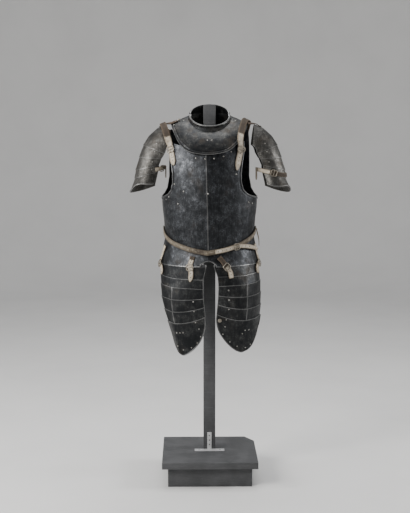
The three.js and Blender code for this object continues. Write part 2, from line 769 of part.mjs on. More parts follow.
// Stand: block, top board with a worn corner, post and bracket
const blockTop = blockHeight + clearance / 2;
const boardTop = blockTop + topThickness;
const postFront = postBack - armourForward - postDepth / 2;
piece(stand, "stand_block", new THREE.BoxGeometry(blockWidth, blockDepth, blockHeight), paintedWood)
  .position.z = blockHeight / 2;
const board = new THREE.Shape([
  new THREE.Vector2(-topWidth / 2, -topDepth / 2),
  new THREE.Vector2(topWidth / 2, -topDepth / 2),
  new THREE.Vector2(topWidth / 2, topDepth / 2 - wornCornerDeep),
  new THREE.Vector2(topWidth / 2 - wornCornerAcross, topDepth / 2),
  new THREE.Vector2(-topWidth / 2, topDepth / 2),
]);
const boardGeometry = new THREE.ExtrudeGeometry(board, { depth: topThickness, bevelEnabled: false });
piece(stand, "stand_top", boardGeometry, paintedWood).position.z = blockTop;
const postFoot = boardTop + clearance / 2;
piece(stand, "stand_post", new THREE.BoxGeometry(postWidth, postDepth, postTop - postFoot), paintedWood)
  .position.set(0, postFront + postDepth / 2, (postTop + postFoot) / 2);
const bracketFront = postFront - clearance / 2;
const leg = new THREE.BoxGeometry(bracketLegWidth, bracketWall, bracketLegHeight);
leg.translate(0, bracketFront - bracketWall / 2, postFoot + bracketLegHeight / 2);
const foot = new THREE.BoxGeometry(bracketFootWidth, bracketFootDepth, bracketWall);
foot.translate(0, bracketFront - bracketFootDepth / 2, postFoot + bracketWall / 2);
piece(stand, "stand_bracket", joined([leg, foot]), bareIron);

// Plates of the body
piece(armour, "breastplate", breastplate(), steel);
piece(armour, "backplate", backplate(), steel);
piece(armour, "fauld", fauld(), steel);
const gorgetTuck = -(plateWall + shellAir * 1.8);
const gorgetPlates = [
  piece(armour, "gorget_front", gorgetHalfPlate(0, 1, 0), steel),
  piece(armour, "gorget_back", gorgetHalfPlate(2, 1 + gorgetUnderlap, gorgetTuck), steel),
];

// Yoke: a coat-hanger board on the post's front, whose raised ends carry the shoulders of the gorget
const yokeMiddle = bracketFront - yokeDepth / 2 + armourForward;
const yokeSeats = [yokeSeatOuter, (yokeSeatInner + yokeSeatOuter) / 2, yokeSeatInner].map((x) => {
  const heights = [-x, x].flatMap((way) =>
    shares(6).map((t) => {
      const start = point(way, yokeMiddle + yokeDepth * (t - 0.5), yokeLevel - yokeHeight * 2);
      return new THREE.Raycaster(start, point(0, 0, 1)).intersectObjects(gorgetPlates)[0].point.z;
    }),
  );
  return [x, Math.min(...heights) - clearance];
});
const yokeHalf = [
  [yokeSeatInner - yokeRise, yokeLevel - yokeHeight],
  [yokeSeatOuter, yokeSeats[0][1] - yokeHeight],
  ...yokeSeats,
  [yokeSeatInner - yokeRise, yokeLevel],
];
const yokeOutline = [...yokeHalf, ...yokeHalf.toReversed().map(([x, z]) => [-x, z])];
const yokeShape = new THREE.Shape(yokeOutline.map(([x, z]) => new THREE.Vector2(x, z)));
const yoke = new THREE.ExtrudeGeometry(yokeShape, { depth: yokeDepth, bevelEnabled: false });
yoke.rotateX(Math.PI / 2).translate(0, yokeMiddle + yokeDepth / 2, 0);
piece(armour, "stand_yoke", yoke, paintedWood);

// Plates of the legs and arms
const legs = { left: tassetSkin(-1), right: tassetSkin(1) };
const arms = { left: spaudlerSkin(-1), right: spaudlerSkin(1) };
for (const side of [-1, 1]) {
  const name = side < 0 ? "left" : "right";
  const tasset = legs[name];
  for (let k = 0; k < 5; k++) piece(armour, `tasset_${name}_lame_${k + 1}`, tassetLame(tasset, k), steel);
  piece(armour, `tasset_${name}_end_plate`, tassetEndPlate(tasset), steel);
  const spaudler = arms[name];
  piece(armour, `spaudler_${name}_main`, spaudlerMain(spaudler), steel);
  for (let k = 3; k < 6; k++) piece(armour, `spaudler_${name}_lame_${k - 2}`, spaudlerLame(spaudler, k), steel);
  piece(armour, `spaudler_${name}_lower`, spaudlerLame(spaudler, 6), steel);
}

// Straps over the shoulders: the left one has slipped out on to the spaudler, and the right one lies on
// the gorget. Each runs from the backplate over the shoulder to the breastplate.
const hangerRise = leatherWall + clearance;
const shoulderPaths = {
  left: [
    torso.rest(-1.47, 0.9, strapAir),
    torso.rest(-1.43, 1.06, strapAir * 3),
    arms.left.rest(0.55, 0.25, strapAir * 6 + hangerRise),
    arms.left.rest(0, 0.35, strapAir * 4.4 + hangerRise),
    arms.left.rest(-0.42, 0.25, strapAir * 4 + hangerRise),
    arms.left.rest(-0.8, 0.1, strapAir * 4 + hangerRise),
    torso.rest(-0.54, 0.965, strapAir * 4),
    torso.rest(-0.51, 0.9, strapAir * 2),
    torso.rest(-0.485, 0.84, strapAir * 1.6),
    torso.rest(-0.462, 0.79, strapAir * 1.4),
  ],
  right: [
    torso.rest(1.47, 0.9, strapAir),
    torso.rest(1.44, 1.05, strapAir * 3),
    gorget.rest(1.24, 1.95, strapAir * 15 + hangerRise),
    gorget.rest(1.0, 1.74, strapAir * 3 + hangerRise),
    gorget.rest(0.78, 1.8, strapAir * 3 + hangerRise),
    gorget.rest(0.62, 1.96, strapAir * 3.6 + leatherWall),
    torso.rest(0.505, 0.94, strapAir * 2.5),
    torso.rest(0.46, 0.84, strapAir * 1.6),
    torso.rest(0.42, 0.745, strapAir * 1.4),
  ],
};
const shoulderSteps = 24;
for (const [name, path] of Object.entries(shoulderPaths)) {
  piece(armour, `shoulder_strap_${name}`, strap(path, shoulderStrapWidth, shoulderSteps, 0.1), paleLeather);
  const place = name === "left" ? 0.71 : 0.75;
  piece(armour, `shoulder_buckle_${name}`, buckle(path, shoulderSteps, place, shoulderStrapWidth), buckleIron);
}

// Hangers: brown straps that carry the spaudlers from the gorget
for (const [name, side] of [["left", -1], ["right", 1]]) {
  const path = [
    gorget.rest(side, 1.6, clearance),
    gorget.rest(side, 1.78, clearance),
    gorget.rest(side, 1.95, strapAir),
    arms[name].rest(0, 0.12, strapAir * 2),
    arms[name].rest(0, 0.5, clearance),
    arms[name].rest(0, 0.8, clearance),
  ];
  piece(armour, `spaudler_hanger_${name}`, strap(path, hangerWidth, 10), brownLeather);
}

// Waist belt: a closed band in the waist, with its holed end lying over it and through the buckle
const onWaist = (u, up, off) => torso.rest(u, torsoLevel(u, waistAt(u) + up), off);
const beltUp = 5;
function waistBand() {
  const rings = shares(44).slice(1).map((t) => {
    const u = 4 * t;
    const foot = onWaist(u, beltUp, strapAir * 1.8);
    return [
      [-1, 0], [1, 0], [1, leatherWall], [-1, leatherWall],
    ].map(([way, off]) => {
      const p = foot.p.clone().addScaledVector(foot.n.clone().setZ(0).normalize(), off);
      return p.add(point(0, 0, (way * beltWidth) / 2));
    });
  });
  return loft(rings, true);
}
piece(armour, "waist_belt", waistBand(), paleLeather);

// Tasset straps: from under the belt over the fauld to the first lames, with their tips hanging
const strapRows = {
  left_hip: { side: "left", along: [-0.77, -0.82, -0.85], lame: 0.965, end: 1 },
  left_front: { side: "left", along: [-0.22, -0.235, -0.25], lame: 0.3, end: 1.25 },
  right_front: { side: "right", along: [0.14, 0.2, 0.24], lame: 0.33, end: 1.15 },
  right_hip: { side: "right", along: [0.84, 0.865, 0.87], lame: 0.95, end: 1.2 },
};
const tassetSteps = 14;
for (const [name, row] of Object.entries(strapRows)) {
  const [top, middle, low] = row.along;
  const fauldPoint = (u, share, off) => torso.rest(u, torsoLevel(u, mix(waistAt(u), hemLevel, share)), off);
  const path = [
    fauldPoint(top, 0.32, strapAir),
    fauldPoint(middle, 0.62, strapAir),
    fauldPoint(low, 0.95, strapAir),
    legs[row.side].rest(row.lame, 0.5, strapAir),
    legs[row.side].rest(row.lame, row.end, strapAir),
  ];
  piece(armour, `tasset_strap_${name}`, strap(path, tassetStrapWidth, tassetSteps, 0.15), paleLeather);
  piece(armour, `tasset_buckle_${name}`, buckle(path, tassetSteps, 0.55, tassetStrapWidth), buckleIron);
}

// Belt tail: the holed end over the belt, through the buckle and out to the right
const beltTop = strapAir * 1.8 + leatherWall + clearance;
const tailPath = [
  onWaist(0.09, beltUp + 1, beltTop),
  onWaist(0.25, beltUp + 1, beltTop),
  onWaist(0.42, beltUp - 1, beltTop + hangingOff * 0.25),
  onWaist(0.55, beltUp - beltTailFall * 0.225, beltTop + hangingOff * 0.75),
  onWaist(0.7, beltUp - beltTailFall * 0.58, beltTop + hangingOff),
  onWaist(0.85, beltUp - beltTailFall, beltTop + hangingOff),
];
const tailSteps = 16;
piece(armour, "belt_tail", strap(tailPath, beltTailWidth, tailSteps, 0.1), paleLeather);
piece(armour, "belt_buckle", buckle(tailPath, tailSteps, 0.375, beltTailWidth), buckleIron);

// A spare strap that hangs from the belt at the right hip
const hipStrap = [
  onWaist(1.02, beltUp, beltTop),
  onWaist(1.03, beltUp - hipStrapFall * 0.265, beltTop + hangingOff * 0.75),
  onWaist(1.0, beltUp - hipStrapFall * 0.66, beltTop + hangingOff * 1.5),
  onWaist(0.98, beltUp - hipStrapFall, beltTop + hangingOff),
];
piece(armour, "hip_strap", strap(hipStrap, tailWidth, 8, 0.2), paleLeather);

// Arm straps: u past the front edge closes the ring inside the arm
const armStrapRows = {
  left: { from: -0.9, to: -1.92, level: 5.55, slope: 0.1, at: 0.2, tail: -1.34 },
  right: { from: 0.35, to: -1.5, level: 5.5, slope: 0.45, at: 0.55, tail: -1.25 },
};
for (const [name, row] of Object.entries(armStrapRows)) {
  const places = shares(12).map((t) =>
    arms[name].rest(mix(row.from, row.to, t), row.level + row.slope * t, clearance),
  );
  const leather = name === "left" ? paleLeather : brownLeather;
  piece(armour, `arm_strap_${name}`, strap(places, armStrapWidth, 20), leather);
  piece(armour, `arm_buckle_${name}`, buckle(places, 20, row.at, armStrapWidth), buckleIron);
  const tailShare = (row.tail - row.from) / (row.to - row.from);
  const top = arms[name].rest(row.tail, row.level + row.slope * tailShare, leatherWall + 2.8 * clearance);
  const tail = shares(3).map((t) => ({
    p: top.p.clone().add(point(0, -armTailLean * t, armTailAbove - armTailFall * t)),
    n: top.n,
  }));
  piece(armour, `arm_strap_end_${name}`, strap(tail, tailWidth, 5, 0.25), paleLeather);
}

// Gorget pin, and the knob on the inner edge of the right end plate
function stud(seat, radius, height) {
  const { p, n } = seat;
  const profile = [[0, 0], [radius * 0.5, 0], [radius * 0.5, height * 0.4], [radius, height * 0.6]];
  const rounded = [[radius * 0.8, height * 0.85], [0, height]];
  const outline = [...profile, ...rounded].map(([x, y]) => new THREE.Vector2(x, y));
  const geometry = new THREE.LatheGeometry(outline, 10);
  const turn = new THREE.Quaternion().setFromUnitVectors(point(0, 1, 0), n);
  return geometry.applyQuaternion(turn).translate(p.x, p.y, p.z);
}
piece(armour, "gorget_pin_left", stud(gorget.rest(-0.99, 1.5, clearance), pinRadius, pinHeight), buckleIron);
const knobSeat = legs.right.rest(0.08, 5.12, endPlateLift(5.12) + clearance);
piece(armour, "tasset_knob_right", stud(knobSeat, knobRadius, knobLength), buckleIron);

export default part;
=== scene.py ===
"""A blackened half armour of about 1600, strapped together and hung on a plain wooden stand.

Lengths are metres, +Z is up, the front faces -Y, and the origin is the middle of the stand's underside.
Left and right are those of somebody who looks at the front: left is -X. Plates and straps lie on the
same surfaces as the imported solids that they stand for, with a finer mesh, rolled rims and rivets.
"""

import json
import logging
import math
from collections.abc import Callable, Sequence
from dataclasses import dataclass, field
from enum import Enum

import bmesh
import bpy
import numpy as np
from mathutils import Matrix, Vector, kdtree

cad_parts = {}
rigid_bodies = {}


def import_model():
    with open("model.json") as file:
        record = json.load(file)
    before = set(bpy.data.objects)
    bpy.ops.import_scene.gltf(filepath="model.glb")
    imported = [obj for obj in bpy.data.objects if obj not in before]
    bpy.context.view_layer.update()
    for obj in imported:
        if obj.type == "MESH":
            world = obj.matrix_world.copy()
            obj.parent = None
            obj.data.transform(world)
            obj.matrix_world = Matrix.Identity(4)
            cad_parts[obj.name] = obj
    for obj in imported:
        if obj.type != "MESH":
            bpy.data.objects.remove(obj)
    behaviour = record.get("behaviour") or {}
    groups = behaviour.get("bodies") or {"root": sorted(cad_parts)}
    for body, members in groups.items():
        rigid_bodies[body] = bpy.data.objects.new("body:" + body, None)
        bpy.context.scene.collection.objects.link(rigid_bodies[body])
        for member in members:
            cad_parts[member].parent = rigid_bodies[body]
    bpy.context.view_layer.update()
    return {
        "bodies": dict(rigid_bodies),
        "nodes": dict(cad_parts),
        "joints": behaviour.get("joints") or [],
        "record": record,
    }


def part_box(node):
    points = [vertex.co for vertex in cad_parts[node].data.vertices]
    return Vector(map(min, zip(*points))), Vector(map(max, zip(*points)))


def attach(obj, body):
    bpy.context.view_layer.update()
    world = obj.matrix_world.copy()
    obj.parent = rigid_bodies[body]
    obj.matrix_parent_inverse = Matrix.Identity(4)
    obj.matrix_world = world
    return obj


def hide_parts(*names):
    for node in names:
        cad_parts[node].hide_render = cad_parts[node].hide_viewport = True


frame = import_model()

log = logging.getLogger("half armour")
Array = np.ndarray
Color = tuple[float, float, float]
Lines = Callable[[Array], list[Array]]

# Walls, clearances, and how far the armour stands forward of the stand's middle
BREAST_WALL = 0.0024
PLATE_WALL = 0.0016
LEATHER_WALL = 0.003
CLEARANCE = 0.0005
SHELL_AIR = 0.00075
STRAP_AIR = 0.0012
ARMOUR_FORWARD = 0.023


class Side(Enum):
    """Which side of the armour a piece is on, as seen from the front."""

    LEFT = -1
    RIGHT = 1

    @property
    def label(self) -> str:
        """The side's name in lower case."""
        return self.name.lower()


class Slot(Enum):
    """The record's material slots."""

    STEEL = "blackened_steel"
    PALE = "pale_leather"
    BROWN = "brown_leather"
    IRON = "buckle_iron"
    WOOD = "painted_wood"
    BRACKET = "bare_iron"


class Table:
    """Sections of a surface by place: named columns of shares."""

    def __init__(self, names: str, *rows: tuple[float, ...]) -> None:
        """Keeps the rows as columns.

        Args:
            names: the columns' names, of which the first is the place.
            rows: one tuple of numbers for each place.
        """
        self.columns = dict(zip(names.split(), np.array(rows, float).T))
        self.places = next(iter(self.columns.values()))

    def straight(self, name: str, at: Array) -> Array:
        """A column between its rows, in straight stretches."""
        return np.interp(at, self.places, self.columns[name])

    def smooth(self, name: str, at: Array, flat: bool = False) -> Array:
        """A column as a smooth curve through its rows.

        Args:
            name: the column.
            at: places along the table.
            flat: whether the curve is level at both ends.

        Returns:
            The column's value at each place.
        """
        x, y = self.places, self.columns[name]
        at = np.clip(at, x[0], x[-1])
        i = np.clip(np.searchsorted(x, at, "right") - 1, 0, len(x) - 2)
        span = x[i + 1] - x[i]
        t = (at - x[i]) / span
        row = np.arange(len(x))
        low, high = np.maximum(row - 1, 0), np.minimum(row + 1, len(x) - 1)
        slope = (y[high] - y[low]) / (x[high] - x[low])
        if flat:
            slope[[0, -1]] = 0
        rise = (3 - 2 * t) * t * t
        bend = slope[i] * t * (1 - t) ** 2 - slope[i + 1] * t * t * (1 - t)
        return mix(y[i], y[i + 1], rise) + bend * span


def mix(a: Array, b: Array, t: Array) -> Array:
    """The value a share t of the way from a to b."""
    return a + (b - a) * t


def smoothstep(x: Array, low: float, high: float) -> Array:
    """0 below low, 1 above high and a smooth rise between."""
    t = np.clip((x - low) / (high - low), 0, 1)
    return t * t * (3 - 2 * t)


def points(x: Array, y: Array, z: Array) -> Array:
    """Points from arrays or numbers of coordinates."""
    return np.stack(np.broadcast_arrays(x, y, z), -1).astype(float)


def unit(vectors: Array) -> Array:
    """The vectors at length 1."""
    return vectors / np.maximum(np.linalg.norm(vectors, axis=-1, keepdims=True), 1e-12)


class Skin:
    """A surface that plates and straps lie on."""

    def at(self, u: Array, v: Array) -> Array:
        """Points of the surface."""
        raise NotImplementedError

    def core(self, u: Array, v: Array) -> Array:
        """Points inside the surface, one for each place."""
        raise NotImplementedError

    def normal(self, u: Array, v: Array) -> Array:
        """The way out of the surface at each place.

        Args:
            u: places round the surface.
            v: places down it.

        Returns:
            A vector of length 1 for each place.
        """
        step = 1e-3
        along = self.at(u + step, v) - self.at(u - step, v)
        down = self.at(u, v + step) - self.at(u, v - step)
        normal = unit(np.cross(along, down))
        outward = np.sum(normal * (self.at(u, v) - self.core(u, v)), -1, keepdims=True)
        return np.where(outward < 0, -normal, normal)

    def out(self, u: Array, v: Array, off: Array) -> Array:
        """Points at a distance off the surface."""
        u, v, off = np.broadcast_arrays(u, v, off)
        return self.at(u, v) + self.normal(u, v) * off[..., None]

    def rest(self, u: Array, v: Array, off: float) -> tuple[Array, Array]:
        """A resting place, or many: a point off the surface, and the way out from it."""
        place = np.broadcast_arrays(np.asarray(u, float), np.asarray(v, float))
        return self.out(*place, np.float64(off)), self.normal(*place)


@dataclass(frozen=True)
class Torso(Skin):
    """The body's surface: u counts quarter turns from the keel, v is -1 hem, 0 waist, 1 neck."""

    chest_half: float = 0.187
    front_depth: float = 0.160
    back_depth: float = 0.112
    waist_front: float = 0.927
    waist_side: float = 1.007
    waist_back: float = 0.977
    neck_level: float = 1.345
    hem_level: float = 0.878
    keel_share: float = 0.25
    roundness: float = 2.4
    waist_set_over: float = -0.008
    neck_set_over: float = -0.017
    rows: Table = field(default=Table(
        "at width front back",
        (-1, 1.048, 1.063, 1.0),
        (-0.5, 0.985, 1.0, 0.89),
        (0, 0.95, 0.955, 0.8),
        (0.12, 0.958, 0.975, 0.85),
        (0.3, 0.992, 1.0, 0.95),
        (0.5, 1.0, 0.99, 1.0),
        (0.7, 1.0, 0.94, 0.98),
        (0.85, 0.985, 0.85, 0.88),
        (1, 0.95, 0.72, 0.69),
        (1.2, 0.9, 0.5, 0.46),
    ))

    def waist(self, u: Array) -> Array:
        """Height of the waist round the body.

        Args:
            u: quarter turns from the keel.

        Returns:
            A height for each.
        """
        turn = np.abs((np.asarray(u) + 10) % 4 - 2)
        front = self.waist_front + (self.waist_side - self.waist_front) * np.minimum(turn, 1) ** 1.5
        back = self.waist_back + (self.waist_side - self.waist_back) * np.clip(2 - turn, 0, 1) ** 1.5
        return np.where(turn <= 1, front, back)

    def level(self, u: Array, z: Array) -> Array:
        """Level of a height.

        Args:
            u: quarter turns from the keel.
            z: heights.

        Returns:
            The level of each height.
        """
        waist = self.waist(u)
        above = (z - waist) / (self.neck_level - waist)
        return np.where(z >= waist, above, (z - waist) / (waist - self.hem_level))

    def height(self, u: Array, v: Array) -> Array:
        """Height of a level."""
        waist = self.waist(u)
        return waist + np.where(v >= 0, v * (self.neck_level - waist), v * (waist - self.hem_level))

    def at(self, u: Array, v: Array) -> Array:
        """Points of the surface.

        Args:
            u: quarter turns from the keel.
            v: levels.

        Returns:
            A point for each place.
        """
        angle = np.radians(90 * u)
        share, front = np.sin(angle), np.cos(angle) > 0
        half = self.chest_half * self.rows.smooth("width", v)
        fore = -self.front_depth * self.rows.smooth("front", v)
        deep = np.where(front, fore, self.back_depth * self.rows.smooth("back", v))
        leaning = mix(self.waist_set_over, self.neck_set_over, np.clip(v, 0, 1)) * (1 - share**6)
        y = deep * section_depth(share, self.roundness, np.where(front, self.keel_share, 0))
        x = half * share + np.where(front, leaning, 0)
        return points(x, y - ARMOUR_FORWARD, self.height(u, v))

    def core(self, u: Array, v: Array) -> Array:
        """Points on the body's axis."""
        return points(0, -ARMOUR_FORWARD, self.height(u, v))

    def by_height(self, u: Array, z: Array, off: float) -> tuple[Array, Array]:
        """A resting place, or many, by height."""
        return self.rest(u, self.level(u, z), off)

    def on_waist(self, u: Array, up: float, off: float) -> tuple[Array, Array]:
        """A resting place, or many, by height over the waist."""
        return self.by_height(u, self.waist(u) + up, off)


def section_depth(share: Array, power: Array, keel: Array) -> Array:
    """Depth of a section: a flattened ellipse with some straight ridge mixed in."""
    side = np.abs(share)
    return (1 - keel) * np.sqrt(np.maximum(0, 1 - side**power)) + keel * (1 - side)


@dataclass(frozen=True)
class NeckSkin(Skin):
    """The gorget's surface: v is 0 at the collar's rim, 1 at its foot and 2 at the lower edge."""

    set_over: float = -0.0119
    neck_back: float = 0.003
    rim_across: float = 0.076
    rim_deep: float = 0.070
    rim_level: float = 1.455
    rim_tilt: float = 0.042
    collar_across: float = 0.084
    collar_deep: float = 0.080
    collar_level: float = 1.424
    collar_tilt: float = 0.038
    collar_shoulder: float = 0.018
    half: float = 0.150
    fore: float = 0.138
    low: float = 1.305
    fall: float = 0.137
    bulge: float = 0.3
    edge: Table = field(default=Table(
        "at out fore level",
        (0, 0, 1, 0),
        (0.17, 0.48, 0.94, 0.08),
        (0.28, 0.72, 0.73, 0.27),
        (0.39, 0.89, 0.44, 0.56),
        (0.5, 1, 0.05, 0.83),
        (0.61, 0.97, -0.3, 0.78),
        (0.78, 0.68, -0.68, 0.53),
        (1, 0, -0.84, 0.33),
    ))

    def at(self, u: Array, v: Array) -> Array:
        """Points of the surface.

        Args:
            u: quarter turns from the front.
            v: levels.

        Returns:
            A point for each place.
        """
        angle = np.radians(90 * u)
        fore, aside = np.cos(angle), np.sin(angle)
        rim = points(
            self.rim_across * aside,
            self.neck_back - self.rim_deep * fore,
            self.rim_level - self.rim_tilt * fore,
        )
        foot = points(
            self.collar_across * aside,
            self.neck_back - self.collar_deep * fore,
            self.collar_level - self.collar_tilt * fore + self.collar_shoulder * aside**2,
        )
        turn = np.arccos(np.clip(fore, -1, 1)) / np.pi
        out = self.half * self.edge.smooth("out", turn)
        edge = points(
            np.sign(aside) * out + self.set_over * np.maximum(0, fore),
            -self.fore * self.edge.smooth("fore", turn, flat=True),
            self.low + self.fall * self.edge.smooth("level", turn, flat=True),
        )
        knee = mix(foot, edge, 0.55)
        knee[..., 2] = mix(foot[..., 2], edge[..., 2], self.bulge)
        v = np.broadcast_to(v, fore.shape)[..., None]
        t = np.maximum(v - 1, 0)
        skirt = foot * (1 - t) ** 2 + knee * 2 * t * (1 - t) + edge * t * t
        return np.where(v <= 1, mix(rim, foot, v), skirt) - [0, ARMOUR_FORWARD, 0]

    def core(self, u: Array, v: Array) -> Array:
        """Points inside the neck, lower than the skirt."""
        z = self.at(u, v)[..., 2]
        return points(0, self.neck_back - ARMOUR_FORWARD, np.where(v < 1, z, z - 0.06 * (v - 1) - 0.01))


@dataclass(frozen=True)
class TassetSkin(Skin):
    """A tasset's surface: u is 0 at the inner edge and 1 at the outer, v counts lames from the hem."""

    side: Side
    torso: Torso
    lames_length: float = 0.219
    lame_rise: float = 0.045
    end_plate_length: float = 0.124
    right_lift: float = 0.011
    ridge: float = 0.66
    left_ridge_lean: float = 0.16
    outer_rise: float = 0.009
    tip_sag: float = 0.0015
    rows: Table = field(default=Table(
        "at fall leftIn leftOut rightIn rightOut rise",
        (0, 0, 0.087, 0.97, 0.077, 0.97, 0),
        (1, 0.219, 0.143, 0.98, 0.143, 0.985, 0),
        (2, 0.374, 0.143, 0.977, 0.158, 1.01, -0.04),
        (3, 0.584, 0.138, 0.964, 0.153, 1.022, 0.16),
        (4, 0.795, 0.117, 0.908, 0.138, 1.022, 0.45),
        (5, 1, 0.1, 0.837, 0.12, 1.01, 0.6),
    ))
    end_rows: Table = field(default=Table(
        "at leftIn leftOut rightIn rightOut",
        (5, 0.1, 0.837, 0.12, 1.01),
        (5.2, 0.097, 0.8, 0.112, 0.995),
        (5.45, 0.13, 0.752, 0.16, 0.95),
        (5.68, 0.21, 0.708, 0.27, 0.893),
        (5.85, 0.32, 0.66, 0.39, 0.825),
        (5.95, 0.42, 0.615, 0.49, 0.745),
        (6, 0.49, 0.565, 0.57, 0.66),
    ))
    sections: Table = field(default=Table(
        "at width depth power keel",
        (0, 1, 1, 2.4, 0.25),
        (1, 1.02, 1, 2.7, 0.17),
        (2, 1.045, 1, 3.1, 0.1),
        (3, 1.055, 0.99, 3.6, 0.04),
        (4, 1.055, 0.98, 4, 0),
        (5, 1.045, 0.96, 4.2, 0),
        (6, 1.03, 0.92, 4.4, 0),
    ))

    @property
    def half(self) -> float:
        """Half the width of the hem."""
        return self.torso.chest_half * self.torso.rows.columns["width"][0]

    @property
    def depth(self) -> float:
        """Depth of the hem at the front."""
        return self.torso.front_depth * self.torso.rows.columns["front"][0]

    def lame_length(self, k: int) -> float:
        """How far down lame k reaches; 5 is the end plate."""
        fall = self.rows.columns["fall"]
        return (fall[k + 1] - fall[k]) * self.lames_length if k < 5 else self.end_plate_length

    def ridge_at(self, v: Array) -> Array:
        """Where the ridge stands at each level; the left one moves outward on its way down."""
        lean = self.left_ridge_lean if self.side is Side.LEFT else 0
        return self.ridge + lean * np.clip(v, 0, 5) / 5

    def line(self, place: Array, u: Array) -> Array:
        """Height of the line between two lames, which dips to the ridge from both edges.

        Args:
            place: levels.
            u: shares across.

        Returns:
            A height for each place.
        """
        ridge = self.ridge_at(place)
        inner = np.maximum(0, (ridge - u) / ridge) ** 2
        outer = np.maximum(0, (u - ridge) / (1 - ridge)) ** 2
        lift = self.right_lift if self.side is Side.RIGHT else 0
        raised = np.minimum(place, 1) * (lift + outer * self.outer_rise)
        fall = self.rows.straight("fall", place) * self.lames_length
        dip = self.rows.straight("rise", place) * self.lame_rise * inner
        return self.torso.hem_level - fall + dip + raised

    def height(self, u: Array, v: Array) -> Array:
        """Height of a place on the surface.

        Args:
            u: shares across.
            v: levels.

        Returns:
            A height for each place.
        """
        above = -np.minimum(v, 0) * self.lame_length(0)
        past = np.maximum(v - 5, 0)
        low = mix(self.line(np.float64(5), u), self.line(np.float64(5), self.ridge_at(5)), past)
        high = self.line(np.clip(v, 0, 5), u)
        tip = self.tip_sag * smoothstep(v, 5.8, 6) * (1 - (2 * u - 1) ** 2)
        return np.where(v >= 5, low - past * self.end_plate_length - tip, high + above)

    def section(self, share: Array, v: Array, z: Array) -> tuple[Array, Array, Array, Array]:
        """Half width, depth, roundness and keel of the section at a place.

        Args:
            share: shares of the half width.
            v: levels.
            z: heights.

        Returns:
            The four columns, each with a value for every place.
        """
        level = self.torso.level(np.arcsin(share) / np.pi * 2, z)
        place = np.clip(v, 0, 6)
        column = {name: self.sections.straight(name, place) for name in self.sections.columns}
        fauld = v < 0
        rows = self.torso.rows
        wide = self.torso.chest_half * rows.smooth("width", level)
        front = self.torso.front_depth * rows.smooth("front", level)
        half = np.where(fauld, wide, self.half * column["width"])
        deep = np.where(fauld, front, self.depth * column["depth"])
        return half, deep, column["power"], column["keel"]

    def at(self, u: Array, v: Array) -> Array:
        """Points of the surface.

        Args:
            u: shares across.
            v: levels.

        Returns:
            A point for each place.
        """
        u, v = np.broadcast_arrays(np.asarray(u, float), np.asarray(v, float))
        edges = []
        for name in (self.side.label + "In", self.side.label + "Out"):
            lames = self.rows.straight(name, np.maximum(v, 0))
            edges.append(np.where(v > 5, self.end_rows.smooth(name, v), lames))
        x = self.side.value * self.half * mix(edges[0], edges[1], u)
        z = self.height(u, v)
        set_over = self.torso.waist_set_over * np.clip(1 - v / 2, 0, 1)
        share = x / self.half
        for _ in range(8):
            half = self.section(share, v, z)[0]
            share = np.clip((x - set_over * (1 - share**6)) / half, -0.999, 0.999)
        _, deep, power, keel = self.section(share, v, z)
        return points(x, -deep * section_depth(share, power, keel) - ARMOUR_FORWARD, z)

    def core(self, u: Array, v: Array) -> Array:
        """Points behind the middle of the surface."""
        return points(self.side.value * self.half * 0.4, -ARMOUR_FORWARD, self.height(np.float64(0.5), v))


@dataclass(frozen=True)
class ArmSkin(Skin):
    """A spaudler's surface: u is -1 at the front edge and 1 at the back, v counts the table's rows."""

    side: Side
    reach: float = 0.312
    top: float = 1.418
    fall: float = 0.262
    half_depth: float = 0.076
    right_out: float = 0.006
    lower_arch: float = 0.024
    lower_back_drop: float = 0.012
    left_arch_at: float = -0.5
    right_arch_at: float = -0.32
    arch_spread: float = 0.32
    rows: Table = field(default=Table(
        "at midOut midFall out fall half wrap",
        (0, 0.506, 0.305, 0.535, 0, 0.86, 0),
        (1, 0.532, 0.328, 0.65, 0.055, 0.9, 0),
        (2, 0.572, 0.36, 0.757, 0.168, 0.92, 6),
        (3, 0.62, 0.4, 0.833, 0.305, 0.9, 16),
        (4, 0.69, 0.5, 0.885, 0.485, 0.87, 27),
        (5, 0.745, 0.63, 0.932, 0.68, 0.85, 36),
        (6, 0.757, 0.735, 0.945, 0.8, 0.84, 38),
        (7, 0.8, 0.93, 1, 1.02, 0.94, 32),
    ))

    def middle(self, v: Array) -> Array:
        """The middle of the hollow."""
        aside = self.reach * self.rows.straight("midOut", v) + self.out_shift
        return points(self.side.value * aside, 0, self.top - self.fall * self.rows.straight("midFall", v))

    @property
    def out_shift(self) -> float:
        """How much further out the right arm hangs."""
        return self.right_out if self.side is Side.RIGHT else 0.0

    def at(self, u: Array, v: Array) -> Array:
        """Points of the surface.

        Args:
            u: shares round the arm.
            v: levels.

        Returns:
            A point for each place.
        """
        u, v = np.broadcast_arrays(np.asarray(u, float), np.asarray(v, float))
        mid = self.middle(v)
        angle = np.radians(90 + u * (90 + self.rows.straight("wrap", v)))
        aside = self.reach * self.rows.straight("out", v) + self.out_shift
        crown = points(self.side.value * aside, 0, self.top - self.fall * self.rows.straight("fall", v))
        p = mid + (crown - mid) * np.sin(angle)[..., None]
        p[..., 1] -= self.half_depth * self.rows.straight("half", v) * np.cos(angle) + ARMOUR_FORWARD
        low = np.maximum(0, v - 6)
        arch = self.left_arch_at if self.side is Side.LEFT else self.right_arch_at
        p[..., 2] += low * self.lower_arch * np.exp(-(((u - arch) / self.arch_spread) ** 2))
        p[..., 2] -= low * self.lower_back_drop * smoothstep(u, 0, 0.8)
        return p

    def core(self, u: Array, v: Array) -> Array:
        """Points in the middle of the hollow."""
        return self.middle(np.broadcast_to(v, np.shape(u))) - [0, ARMOUR_FORWARD, 0]


